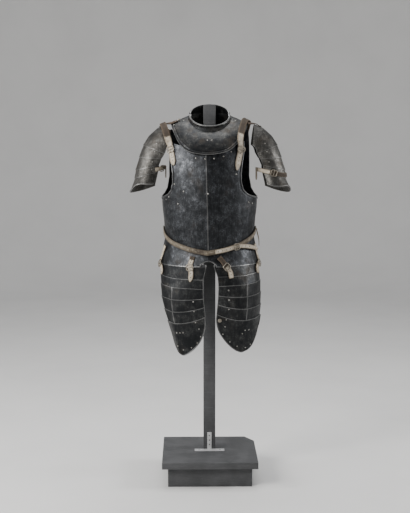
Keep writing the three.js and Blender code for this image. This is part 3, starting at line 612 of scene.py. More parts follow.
class Path:
    """A smooth path with a way out at each place, through a strap's resting places."""

    def __init__(self, places: Sequence[tuple[Array, Array]]) -> None:
        """Keeps the resting places.

        Args:
            places: a point and the way out for each.
        """
        self.stops = np.array([place[0] for place in places])
        self.ways = np.array([place[1] for place in places])

    @staticmethod
    def spline(stops: Array, t: Array) -> Array:
        """Centripetal curve through the stops, evenly timed between them.

        Args:
            stops: points or vectors to go through.
            t: shares of the way along.

        Returns:
            The curve's value at each share.
        """
        ends = np.vstack([2 * stops[0] - stops[1], stops, 2 * stops[-1] - stops[-2]])
        place = t * (len(stops) - 1)
        i = np.clip(np.floor(place).astype(int), 0, len(stops) - 2)
        w = (place - i)[:, None]
        a, b, c, d = (ends[i + k] for k in range(4))
        pairs = ((a, b), (b, c), (c, d))
        gap = [np.maximum(np.linalg.norm(q - p, axis=1, keepdims=True) ** 0.5, 1e-4) for p, q in pairs]
        start = ((b - a) / gap[0] - (c - a) / (gap[0] + gap[1]) + (c - b) / gap[1]) * gap[1]
        end = ((c - b) / gap[1] - (d - b) / (gap[1] + gap[2]) + (d - c) / gap[2]) * gap[1]
        square = -3 * b + 3 * c - 2 * start - end
        cube = 2 * b - 2 * c + start + end
        return b + start * w + square * w**2 + cube * w**3

    def frames(self, t: Array) -> tuple[Array, Array, Array, Array]:
        """Places along the path.

        Args:
            t: shares of the way along.

        Returns:
            The points, the way along, the way across and the way out at each.
        """
        p = self.spline(self.stops, t)
        step = 1e-4
        ahead, behind = np.minimum(t + step, 1), np.maximum(t - step, 0)
        tangent = unit(self.spline(self.stops, ahead) - self.spline(self.stops, behind))
        across = unit(np.cross(tangent, self.spline(self.ways, t)))
        return p, tangent, across, np.cross(across, tangent)


class Shade:
    """A value in a material, on which arithmetic adds Math nodes."""

    def __init__(self, build: "Build", source: object) -> None:
        """Wraps a socket or a number."""
        self.build, self.source = build, source

    def _math(self, operation: str, *others: object) -> "Shade":
        """A Math node of this value and others."""
        return self.build.node("ShaderNodeMath", {"operation": operation}, [self, *others])

    def __add__(self, other: object) -> "Shade":
        """The sum."""
        return self._math("ADD", other)

    def __sub__(self, other: object) -> "Shade":
        """The difference."""
        return self._math("SUBTRACT", other)

    def __mul__(self, other: object) -> "Shade":
        """The product."""
        return self._math("MULTIPLY", other)

    def __pow__(self, other: object) -> "Shade":
        """The power."""
        return self._math("POWER", other)

    def __rsub__(self, other: object) -> "Shade":
        """A number less this value."""
        return Shade(self.build, other)._math("SUBTRACT", self)

    __radd__ = __add__
    __rmul__ = __mul__

    def clamped(self) -> "Shade":
        """The value kept between 0 and 1."""
        return self.build.node("ShaderNodeClamp", {}, [self, 0.0, 1.0])

    def ramp(self, low: float, high: float) -> "Shade":
        """0 where the value is under low, 1 over high, and a smooth rise between."""
        settings = {"interpolation_type": "SMOOTHSTEP"}
        return self.build.node("ShaderNodeMapRange", settings, [self, low, high, 0.0, 1.0])


class Build:
    """A material that is being built from nodes."""

    def __init__(self, name: str) -> None:
        """Starts an empty material with one surface shader.

        Args:
            name: the material's name.
        """
        self.material = bpy.data.materials.new(name)
        self.material.use_nodes = True
        self.tree = self.material.node_tree
        self.shader = self.tree.nodes["Principled BSDF"]
        self.place = self.node("ShaderNodeTexCoord", {}, [], "Object")

    def node(self, kind: str, settings: dict, values: Sequence | dict, output: int | str = 0) -> Shade:
        """Adds a node.

        Args:
            kind: the node's type.
            settings: its properties, which are set first.
            values: numbers, colours or values for its sockets, in order, or by name or number.
            output: which output is meant.

        Returns:
            The node's output as a value.
        """
        node = self.tree.nodes.new(kind)
        for key, setting in settings.items():
            setattr(node, key, setting)
        pairs = values.items() if isinstance(values, dict) else enumerate(values)
        for key, value in pairs:
            if value is None:
                continue
            socket = node.inputs[key]
            source = value.source if isinstance(value, Shade) else value
            if isinstance(source, bpy.types.NodeSocket):
                self.tree.links.new(source, socket)
            else:
                socket.default_value = source
        return Shade(self, node.outputs[output])

    def noise(self, scale: float, detail: float = 3.0, rough: float = 0.55, at: Shade | None = None) -> Shade:
        """Cloudy noise from 0 to 1 with a given number of clouds in a metre."""
        values = {"Vector": at or self.place, "Scale": scale, "Detail": detail, "Roughness": rough}
        return self.node("ShaderNodeTexNoise", {}, values)

    def cells(self, scale: float) -> Shade:
        """Distance to the nearest of scattered points."""
        return self.node("ShaderNodeTexVoronoi", {}, {"Vector": self.place, "Scale": scale})

    def stretched(self, x: float, y: float, z: float) -> Shade:
        """The place on the piece, stretched along its axes."""
        return self.node("ShaderNodeMapping", {}, {"Vector": self.place, "Scale": (x, y, z)})

    def stored(self, name: str) -> Shade:
        """A value stored on the mesh."""
        return self.node("ShaderNodeAttribute", {"attribute_name": name}, [], "Fac")

    def blend(self, share: Shade, low: object, high: object) -> Shade:
        """The colour a share of the way from low to high.

        Args:
            share: 0 to 1.
            low: colour at 0.
            high: colour at 1.

        Returns:
            The mixed colour.
        """
        low, high = ((*color, 1.0) if isinstance(color, tuple) else color for color in (low, high))
        return self.node("ShaderNodeMix", {"data_type": "RGBA"}, {0: share, 6: low, 7: high}, 2)

    def bump(self, height: Shade, strength: float, distance: float, below: Shade | None = None) -> Shade:
        """The way out of the surface, roughened by a height."""
        values = {"Strength": strength, "Distance": distance, "Height": height, "Normal": below}
        return self.node("ShaderNodeBump", {}, values)

    def finish(self, **sockets: object) -> bpy.types.Material:
        """Sets the shader's sockets.

        Args:
            sockets: numbers, colours or values by the sockets' names, with _ for a space.

        Returns:
            The finished material.
        """
        for key, value in sockets.items():
            socket = self.shader.inputs[key.replace("_", " ")]
            if isinstance(value, Shade):
                self.tree.links.new(value.source, socket)
            else:
                socket.default_value = (*value, 1.0) if isinstance(value, tuple) else value
        return self.material


@dataclass(frozen=True)
class BlackenedSteel:
    """Steel blackened by fire, worn paler in patches, with worn rims that also carry a painted highlight."""

    name: str = "blackened steel"
    dark: Color = (0.014, 0.015, 0.0165)
    worn: Color = (0.120, 0.126, 0.138)
    # bright: worn steel for the scratches; at the rims both worn steel and a painted highlight
    bright: Color = (0.30, 0.30, 0.295)
    rust: Color = (0.062, 0.047, 0.033)
    wear: float = 0.0
    patina: float = 0.0
    rim_wear: float = 0.75
    roughness: float = 0.40

    def material(self) -> bpy.types.Material:
        """Builds the material.

        Returns:
            The material.
        """
        b = Build(self.name)
        clouds = b.noise(9.0, 4.0, 0.6)
        patches = b.noise(42.0, 5.0, 0.68)
        grain = b.noise(310.0, 3.0, 0.6)
        streaks = b.noise(1.0, 4.0, 0.62, b.stretched(210.0, 210.0, 24.0))
        rubbed = (clouds * 0.5 + patches * 0.6 + streaks * 0.4 + (self.wear - 0.24)).ramp(0.38, 0.86)
        flecks = (patches * 0.5 + grain * 0.6).ramp(0.52, 0.72)
        color = b.blend(rubbed * (0.3 + flecks * 0.7), self.dark, self.worn)
        old = (b.noise(17.0, 4.0, 0.62) + self.patina * 0.15).ramp(0.54, 0.74)
        color = b.blend(old * (0.15 + self.patina * 0.6), color, self.rust)
        # the rims are worn paler and also painted with a highlight, where their edges would catch the light
        ragged = (b.stored("rim") * (0.25 + patches * 1.3)).clamped() ** 1.4
        color = b.blend(ragged * self.rim_wear, color, self.bright)
        scratches = b.noise(1.0, 2.0, 0.5, b.stretched(900.0, 900.0, 60.0)).ramp(0.66, 0.72)
        color = b.blend(scratches * rubbed * 0.45, color, self.bright)
        dents = b.bump(b.noise(30.0, 2.0, 0.4), 0.34, 0.004)
        pits = b.bump(b.cells(150.0).ramp(0.05, 0.35) + grain * 0.4, 0.17, 0.0006, dents)
        dull = b.noise(70.0, 3.0) * 0.28 + old * 0.12 - ragged * 0.12 + (self.roughness - 0.1)
        return b.finish(Base_Color=color, Roughness=dull, Metallic=0.88, Normal=pits)


@dataclass(frozen=True)
class Leather:
    """Strap leather: dry and scuffed, and darker along its edges."""

    name: str
    face: Color
    scuff: Color
    dirt: Color
    tanned: Color = (0.038, 0.028, 0.020)

    def material(self) -> bpy.types.Material:
        """Builds the material.

        Returns:
            The material.
        """
        b = Build(self.name)
        clouds = b.noise(60.0, 4.0, 0.6)
        grain = b.cells(1400.0)
        ragged = b.stored("tan") + (b.noise(70.0, 4.0, 0.7) - 0.5) * 0.9
        color = b.blend(clouds.ramp(0.35, 0.7), self.face, self.scuff)
        color = b.blend(ragged.ramp(0.3, 0.7), color, self.tanned)
        scuffs = b.noise(1.0, 4.0, 0.7, b.stretched(380.0, 380.0, 150.0)).ramp(0.58, 0.78)
        color = b.blend(scuffs * 0.22, color, self.scuff)
        stains = b.noise(140.0, 4.0, 0.7).ramp(0.52, 0.75) * 0.75
        color = b.blend(stains.clamped(), color, self.dirt)
        edges = (b.stored("rim") * (0.45 + clouds * 0.7)).clamped() * 0.85
        color = b.blend(edges, color, self.dirt)
        creases = b.bump(b.noise(160.0, 4.0, 0.6), 0.4, 0.0012)
        skin = b.bump(grain, 0.24, 0.0004, creases)
        dull = 0.64 + clouds * 0.26
        return b.finish(Base_Color=color, Roughness=dull, Metallic=0.0, Normal=skin, Specular_IOR_Level=0.25)


@dataclass(frozen=True)
class ForgedIron:
    """Iron of the buckles, rivets, pin and bracket."""

    name: str
    face: Color
    stain: Color
    roughness: float
    metallic: float = 0.85

    def material(self) -> bpy.types.Material:
        """Builds the material.

        Returns:
            The material.
        """
        b = Build(self.name)
        spots = b.noise(260.0, 4.0, 0.65)
        color = b.blend(spots.ramp(0.42, 0.68), self.face, self.stain)
        hammered = b.bump(b.noise(420.0, 3.0), 0.3, 0.0006)
        dull = self.roughness + spots * 0.25
        return b.finish(Base_Color=color, Roughness=dull, Metallic=self.metallic, Normal=hammered)


@dataclass(frozen=True)
class PaintedWood:
    """Boards under matt grey paint, with brush marks, rubbed edges and a little dust."""

    name: str = "grey painted wood"
    paint: Color = (0.034, 0.035, 0.037)
    lighter: Color = (0.066, 0.067, 0.070)
    dust: Color = (0.16, 0.16, 0.157)
    rubbed: float = 0.0

    def material(self) -> bpy.types.Material:
        """Builds the material.

        Returns:
            The material.
        """
        b = Build(self.name)
        brushed = b.noise(1.0, 4.0, 0.65, b.stretched(14.0, 420.0, 420.0))
        upright = b.noise(1.0, 4.0, 0.65, b.stretched(420.0, 420.0, 9.0))
        blotches = b.noise(13.0, 4.0, 0.6)
        color = b.blend((blotches * 0.7 + brushed * 0.3).ramp(0.35, 0.7), self.paint, self.lighter)
        color = b.blend(upright.ramp(0.5, 0.75) * 0.35, color, self.lighter)
        specks = b.noise(260.0, 4.0, 0.7) * 0.6 + brushed * 0.4 + self.rubbed
        color = b.blend((specks.ramp(0.53, 0.7) * 0.5).clamped(), color, self.dust)
        lines = b.bump(brushed + upright, 0.25, 0.0008)
        dull = 0.56 + blotches * 0.22
        return b.finish(Base_Color=color, Roughness=dull, Metallic=0.0, Normal=lines)


@dataclass(frozen=True)
class StudioSurface:
    """The pale floor and its backdrop."""

    name: str = "pale studio floor"
    color: Color = (0.66, 0.655, 0.645)

    def material(self) -> bpy.types.Material:
        """Builds the material.

        Returns:
            The material.
        """
        b = Build(self.name)
        darker = tuple(channel * 0.94 for channel in self.color)
        shade = b.blend(b.noise(2.0, 3.0).ramp(0.3, 0.8), self.color, darker)
        return b.finish(Base_Color=shade, Roughness=0.72, Metallic=0.0)


class Finishes:
    """The materials, each made once."""

    def __init__(self) -> None:
        """Builds every finish."""
        self.breast = BlackenedSteel("breast steel", wear=0.06).material()
        self.plain = BlackenedSteel("plate steel", wear=0.03).material()
        self.gorget = BlackenedSteel(
            "gorget steel",
            worn=(0.122, 0.119, 0.110),
            wear=0.05,
            patina=0.35,
            rim_wear=0.7,
            roughness=0.35,
        ).material()
        self.arm = BlackenedSteel(
            "shoulder steel",
            dark=(0.028, 0.027, 0.025),
            worn=(0.20, 0.193, 0.18),
            wear=0.14,
            patina=0.3,
            rim_wear=0.65,
            roughness=0.46,
        ).material()
        self.tasset = BlackenedSteel(
            "tasset steel", worn=(0.105, 0.106, 0.102), patina=0.1, rim_wear=0.9
        ).material()
        self.pale = Leather(
            "buff strap", face=(0.35, 0.30, 0.23), scuff=(0.52, 0.47, 0.39), dirt=(0.10, 0.075, 0.052)
        ).material()
        self.belt = Leather(
            "belt leather", face=(0.12, 0.099, 0.071), scuff=(0.24, 0.208, 0.163), dirt=(0.04, 0.030, 0.021)
        ).material()
        self.brown = Leather(
            "brown strap", face=(0.040, 0.025, 0.016), scuff=(0.10, 0.068, 0.045), dirt=(0.018, 0.012, 0.008)
        ).material()
        self.iron = ForgedIron("buckle iron", (0.30, 0.27, 0.225), (0.10, 0.085, 0.065), 0.32).material()
        self.stud = ForgedIron("rivet steel", (0.34, 0.335, 0.315), (0.13, 0.118, 0.10), 0.27).material()
        self.bracket = ForgedIron(
            "bracket iron", face=(0.62, 0.625, 0.63), stain=(0.42, 0.42, 0.42), roughness=0.3, metallic=0.6
        ).material()
        self.screw = ForgedIron("screw iron", (0.20, 0.20, 0.20), (0.10, 0.10, 0.10), 0.35).material()
        # strap holes: near-black discs, painted shade standing in for the openings
        self.hole = ForgedIron(
            "strap hole", face=(0.012, 0.009, 0.007), stain=(0.02, 0.015, 0.012), roughness=0.8, metallic=0.0
        ).material()
        self.wood = PaintedWood().material()
        self.rubbed_wood = PaintedWood("rubbed edges", rubbed=0.12).material()
        self.floor = StudioSurface().material()


def store(mesh: bpy.types.Mesh, name: str, values: Array) -> None:
    """Stores one number for each point of a mesh."""
    attribute = mesh.attributes.get(name) or mesh.attributes.new(name, "FLOAT", "POINT")
    attribute.data.foreach_set("value", np.ascontiguousarray(values, np.float32).ravel())


def make_mesh(name: str, spots: Array, faces: Sequence, crease: float = 35.0) -> bpy.types.Object:
    """A mesh object with outward faces, smooth but for its creases.

    Args:
        name: the object's name.
        spots: its points.
        faces: lists of point numbers.
        crease: the angle in degrees past which an edge is sharp.

    Returns:
        The object, linked to the scene.
    """
    mesh = bpy.data.meshes.new(name)
    mesh.from_pydata(np.asarray(spots, float).reshape(-1, 3).tolist(), [], [list(f) for f in faces])
    turned = bmesh.new()
    turned.from_mesh(mesh)
    bmesh.ops.recalc_face_normals(turned, faces=turned.faces)
    if turned.calc_volume(signed=True) < 0:
        bmesh.ops.reverse_faces(turned, faces=turned.faces)
    turned.to_mesh(mesh)
    turned.free()
    mesh.shade_smooth()
    mesh.set_sharp_from_angle(angle=math.radians(crease))
    thing = bpy.data.objects.new(name, mesh)
    bpy.context.scene.collection.objects.link(thing)
    return thing


def nearest(spots: Array, lines: Sequence[Array]) -> Array:
    """Distance from each spot to the nearest of some lines, which are filled in first.

    Args:
        spots: a grid of points.
        lines: rows of points.

    Returns:
        A distance for each spot.
    """
    dense = []
    for line in lines:
        steps = np.linalg.norm(np.diff(line, axis=0), axis=1)
        for a, b, step in zip(line[:-1], line[1:], steps):
            count = max(1, int(step / 0.0006))
            dense.append(mix(a, b, np.arange(count)[:, None] / count))
        dense.append(line[-1:])
    dense = np.vstack(dense)
    tree = kdtree.KDTree(len(dense))
    for i, spot in enumerate(dense):
        tree.insert(spot, i)
    tree.balance()
    return np.array([tree.find(spot)[2] for spot in spots.reshape(-1, 3)]).reshape(spots.shape[:-1])


def sides_of(grid: Array) -> list[Array]:
    """The four edges of a grid of points."""
    return [grid[0], grid[-1], grid[:, 0], grid[:, -1]]


def stations(count: int, fine: Sequence[float], width: Array) -> Array:
    """Shares across a piece that lie close together at both edges.

    Args:
        count: how many shares lie between the two fine stretches.
        fine: distances from an edge.
        width: the piece's width in each row.

    Returns:
        One row of shares for each width.
    """
    near = np.asarray(fine)[None, :] / np.asarray(width)[:, None]
    middle = mix(near[:, -1:], 1 - near[:, -1:], np.linspace(0, 1, count + 2)[None, 1:-1])
    return np.hstack([near, middle, 1 - near[:, ::-1]])


def through(share: Array, places: Array) -> Array:
    """The shares with their nearest columns moved to given places, so that a crease falls on a column.

    Args:
        share: shares across, one row for each level.
        places: places of the crease's columns, the same for all rows or one row for each.

    Returns:
        The shares with those columns moved.
    """
    share = share.copy()
    places = places + np.zeros((len(share), 1))
    first = int(np.argmin(np.abs(share[0] - places[0, 0])))
    last = first + places.shape[1]
    low, high = share[:, first - 1], share[:, min(last, share.shape[1] - 1)]
    inside = (places[:, 0] > low) & (places[:, -1] < high)
    share[:, first:last] = np.where(inside[:, None], places, share[:, first:last])
    return np.sort(share, 1)


def stretches(start: float, *parts: tuple[float, int]) -> Array:
    """Values in stretches that are stepped evenly.

    Args:
        start: the first value.
        parts: the end of each stretch and its number of steps.

    Returns:
        The values from the start to the last end.
    """
    values = [np.array([start])]
    for end, steps in parts:
        values.append(np.linspace(start, end, steps + 1)[1:])
        start = end
    return np.concatenate(values)


def tube_faces(rows: int, size: int, closed: bool = False) -> Array:
    """Quads of a tube that is made of rings.

    Args:
        rows: how many rings there are.
        size: how many points a ring has.
        closed: whether the last ring joins the first.

    Returns:
        Four point numbers for each quad.
    """
    index = np.arange(rows * size).reshape(rows, size)
    after = np.roll(index, -1, 1)
    faces = np.stack([index, after, np.roll(after, -1, 0), np.roll(index, -1, 0)], -1)
    return (faces if closed else faces[:-1]).reshape(-1, 4)


# Distances from an edge at which a plate's mesh has its columns, and widths of its details
FINE = (0, 0.0006, 0.0015, 0.0027, 0.004, 0.0055, 0.0075)
# the paler band along a plate's rims, with its shares on a roll's crown and on the inner face, is worn steel
# with a painted highlight
RIM_WEAR_AND_HIGHLIGHT = 0.0014
GROOVE_WIDTH = 0.0012
LIP_SHARE = 0.35
ROLL_WEAR_AND_HIGHLIGHT = 0.5
INNER_WEAR_AND_HIGHLIGHT = 0.3


@dataclass
class Plate:
    """A steel plate with an even wall on a skin.

    From the grid of its points, rolled and grooved pick the edges that are rolled or have a sunk line
    beside them, and the wear lines pick what is worn bright and painted with a highlight.
    """

    name: str
    skin: Skin
    wall: float
    u: Array
    v: Array
    lift: Array
    roll: float = 0.0
    rolled: Lines | None = None
    groove: float = 0.0
    grooved: Lines | None = None
    groove_at: float = 0.009
    wear_lines: Lines | None = None
    wear_width: float = RIM_WEAR_AND_HIGHLIGHT

    def bead(self, base: Array) -> Array:
        """Height of the roll, less the depth of the sunk line beside it.

        Args:
            base: the plate's points on its skin.

        Returns:
            How far each point is raised.
        """
        raised = np.zeros(base.shape[:2])
        if self.rolled:
            away = nearest(base, self.rolled(base))
            raised = np.sqrt(np.maximum(0, self.roll**2 - (away - self.roll) ** 2))
        if self.grooved:
            away = nearest(base, self.grooved(base))
            raised = raised - self.groove * np.exp(-(((away - self.groove_at) / GROOVE_WIDTH) ** 2))
        return raised

    def lip(self, outer: Array, inner: Array, normal: Array, ring: Array) -> Array:
        """Points just outside the edge, which round it off.

        Args:
            outer: points of the outer face.
            inner: points of the inner face.
            normal: the way out at each.
            ring: the numbers of the points round the edge, in order.

        Returns:
            One point for each of the ring's.
        """
        flat = ((outer + inner) / 2).reshape(-1, 3)
        around = flat[ring]
        along = np.roll(around, -1, 0) - np.roll(around, 1, 0)
        edge_out = unit(np.cross(along, normal.reshape(-1, 3)[ring]))
        inward = unit(flat.mean(0) - around)
        if np.sum(edge_out * inward) > 0:
            edge_out = -edge_out
        thick = np.linalg.norm(outer - inner, axis=-1).ravel()[ring]
        return around + edge_out * np.minimum(thick, self.wall)[:, None] * LIP_SHARE

    def make(self, material: bpy.types.Material) -> bpy.types.Object:
        """Builds the plate.

        Args:
            material: its finish.

        Returns:
            The plate's object.
        """
        u, v, lift = np.broadcast_arrays(self.u, self.v, self.lift)
        base, normal = self.skin.at(u, v), self.skin.normal(u, v)
        bead = self.bead(base)
        outer = base + normal * (lift + bead)[..., None]
        inner = base + normal * (lift - self.wall)[..., None]
        count = u.size
        index = np.arange(count).reshape(u.shape)
        quads = np.stack([index[:-1, :-1], index[:-1, 1:], index[1:, 1:], index[1:, :-1]], -1).reshape(-1, 4)
        ring = np.concatenate([index[0], index[1:, -1], index[-1, -2::-1], index[-2:0:-1, 0]])
        lip = self.lip(outer, inner, normal, ring)
        lips = np.arange(len(ring)) + 2 * count
        after, lips_after = np.roll(ring, -1), np.roll(lips, -1)
        faces = [*quads.tolist(), *(quads[:, ::-1] + count).tolist()]
        faces += np.stack([ring, lips, lips_after, after], -1).tolist()
        faces += np.stack([lips, ring + count, after + count, lips_after], -1).tolist()
        spots = np.vstack([outer.reshape(-1, 3), inner.reshape(-1, 3), lip])
        plate = make_mesh(self.name, spots, faces, 50.0)
        # paler band near the chosen lines, on a roll's crown and on the plate's edge: worn steel with a
        # painted highlight
        lines = self.wear_lines(base) if self.wear_lines else sides_of(base)
        worn = np.exp(-nearest(base, lines) / self.wear_width).ravel()
        if self.rolled:
            worn = np.maximum(worn, np.clip(bead / self.roll, 0, 1).ravel() * ROLL_WEAR_AND_HIGHLIGHT)
        store(plate.data, "rim", np.concatenate([worn, worn * INNER_WEAR_AND_HIGHLIGHT, np.ones(len(lip))]))
        plate.data.materials.append(material)
        return plate


def hand_over(thing: bpy.types.Object, slot: Slot, *nodes: str) -> None:
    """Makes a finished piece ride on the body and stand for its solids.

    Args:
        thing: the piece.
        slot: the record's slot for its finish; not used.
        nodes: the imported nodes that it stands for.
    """
    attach(thing, "root")
    if nodes:
        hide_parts(*nodes)
    log.info("%s: %d faces", thing.name, len(thing.data.polygons))


def capture(name: str, carrier: bpy.types.Object) -> bpy.types.Object:
    """Turns a carrier's evaluated geometry into a plain mesh object and removes the carrier.

    Args:
        name: the new object's name.
        carrier: an object with modifiers.

    Returns:
        The plain object.
    """
    graph = bpy.context.evaluated_depsgraph_get()
    mesh = bpy.data.meshes.new_from_object(carrier.evaluated_get(graph))
    mesh.name = name
    old = carrier.data
    bpy.data.objects.remove(carrier)
    bpy.data.meshes.remove(old)
    thing = bpy.data.objects.new(name, mesh)
    bpy.context.scene.collection.objects.link(thing)
    return thing


class NodeTree:
    """A Geometry Nodes tree that is being built."""

    def __init__(self, name: str, sizes: dict[str, float], material: bpy.types.Material) -> None:
        """Starts a tree with a geometry input and named sizes.

        Args:
            name: the tree's name.
            sizes: its named inputs, with their first values.
            material: the finish of what it makes.
        """
        self.group = bpy.data.node_groups.new(name, "GeometryNodeTree")
        self.material = material
        face = self.group.interface
        face.new_socket("Geometry", in_out="INPUT", socket_type="NodeSocketGeometry")
        face.new_socket("Geometry", in_out="OUTPUT", socket_type="NodeSocketGeometry")
        for size, value in sizes.items():
            socket = face.new_socket(size, in_out="INPUT", socket_type="NodeSocketFloat")
            socket.default_value = value
        self.start = self.group.nodes.new("NodeGroupInput")

    def add(self, kind: str, settings: dict, values: dict) -> bpy.types.Node:
        """Adds a node with its settings, and its sockets by name or number.

        Args:
            kind: the node's type.
            settings: its properties.
            values: numbers, words or sockets for its inputs.

        Returns:
            The node.
        """
        node = self.group.nodes.new(kind)
        for key, setting in settings.items():
            setattr(node, key, setting)
        for key, value in values.items():
            if isinstance(value, bpy.types.NodeSocket):
                self.group.links.new(value, node.inputs[key])
            else:
                node.inputs[key].default_value = value
        return node

    def stored(self, kind: str, name: str) -> bpy.types.NodeSocket:
        """A value stored on the points."""
        return self.add("GeometryNodeInputNamedAttribute", {"data_type": kind}, {"Name": name}).outputs[0]

    def scatter(self, shape: bpy.types.NodeSocket) -> None:
        """Puts the shape on every point, turned to the point's stored way out and its turn.

        Args:
            shape: the geometry that goes on every point.
        """
        facing, size = self.stored("FLOAT_VECTOR", "facing"), self.stored("FLOAT", "size")
        turn = self.add("FunctionNodeAlignRotationToVector", {"axis": "Z"}, {"Vector": facing})
        seats = {"Mesh": self.start.outputs["Geometry"]}
        spots = self.add("GeometryNodeMeshToPoints", {"mode": "VERTICES"}, seats)
        values = {"Points": spots.outputs[0], "Instance": shape, "Rotation": turn.outputs[0], "Scale": size}
        placed = self.add("GeometryNodeInstanceOnPoints", {}, values)
        self.close(placed.outputs[0])

    def close(self, geometry: bpy.types.NodeSocket) -> None:
        """Makes the instances real and gives them the material.

        Args:
            geometry: the instances.
        """
        real = self.add("GeometryNodeRealizeInstances", {}, {"Geometry": geometry})
        smooth = self.add("GeometryNodeSetShadeSmooth", {}, {"Geometry": real.outputs[0]})
        values = {"Geometry": smooth.outputs[0], "Material": self.material}
        painted = self.add("GeometryNodeSetMaterial", {}, values)
        end = self.group.nodes.new("NodeGroupOutput")
        self.group.links.new(painted.outputs[0], end.inputs[0])


@dataclass
class Studs:
    """Rivets, nail heads or strap holes scattered over the armour, made by one tree."""

    name: str
    slot: Slot
    material: bpy.types.Material
    radius: float
    height: float
    seats: list[tuple[Array, Array, float]] = field(default_factory=list)

    def put(self, place: tuple[Array, Array], size: float = 1.0) -> None:
        """Adds one at a resting place."""
        self.seats.append((place[0], place[1], size))

    def tree(self) -> bpy.types.NodeTree:
        """The tree: a low dome on every point, with its foot just under the surface.

        Returns:
            The finished tree.
        """
        t = NodeTree(self.name, {"Radius": self.radius, "Height": self.height}, self.material)
        radius, height = t.start.outputs["Radius"], t.start.outputs["Height"]
        dome = t.add("GeometryNodeMeshUVSphere", {}, {"Segments": 12, "Rings": 7, "Radius": 1.0})
        scale = t.add("ShaderNodeCombineXYZ", {}, {"X": radius, "Y": radius, "Z": height})
        shape = t.add("GeometryNodeTransform", {}, {"Geometry": dome.outputs[0], "Scale": scale.outputs[0]})
        t.scatter(shape.outputs[0])
        return t.group

    def make(self) -> None:
        """Builds them all as one piece."""
        mesh = bpy.data.meshes.new(self.name + " seats")
        mesh.from_pydata([tuple(p) for p, _, _ in self.seats], [], [])
        facing = mesh.attributes.new("facing", "FLOAT_VECTOR", "POINT")
        facing.data.foreach_set("vector", np.array([n for _, n, _ in self.seats], np.float32).ravel())
        store(mesh, "size", np.array([size for _, _, size in self.seats]))
        carrier = bpy.data.objects.new(self.name, mesh)
        bpy.context.scene.collection.objects.link(carrier)
        modifier = carrier.modifiers.new("scatter", "NODES")
        modifier.node_group = self.tree()
        sizes = {"Radius": self.radius, "Height": self.height}
        for socket in modifier.node_group.interface.items_tree:
            if socket.in_out == "INPUT" and socket.name in sizes:
                modifier[socket.identifier] = sizes[socket.name]
        hand_over(capture(self.name, carrier), self.slot)


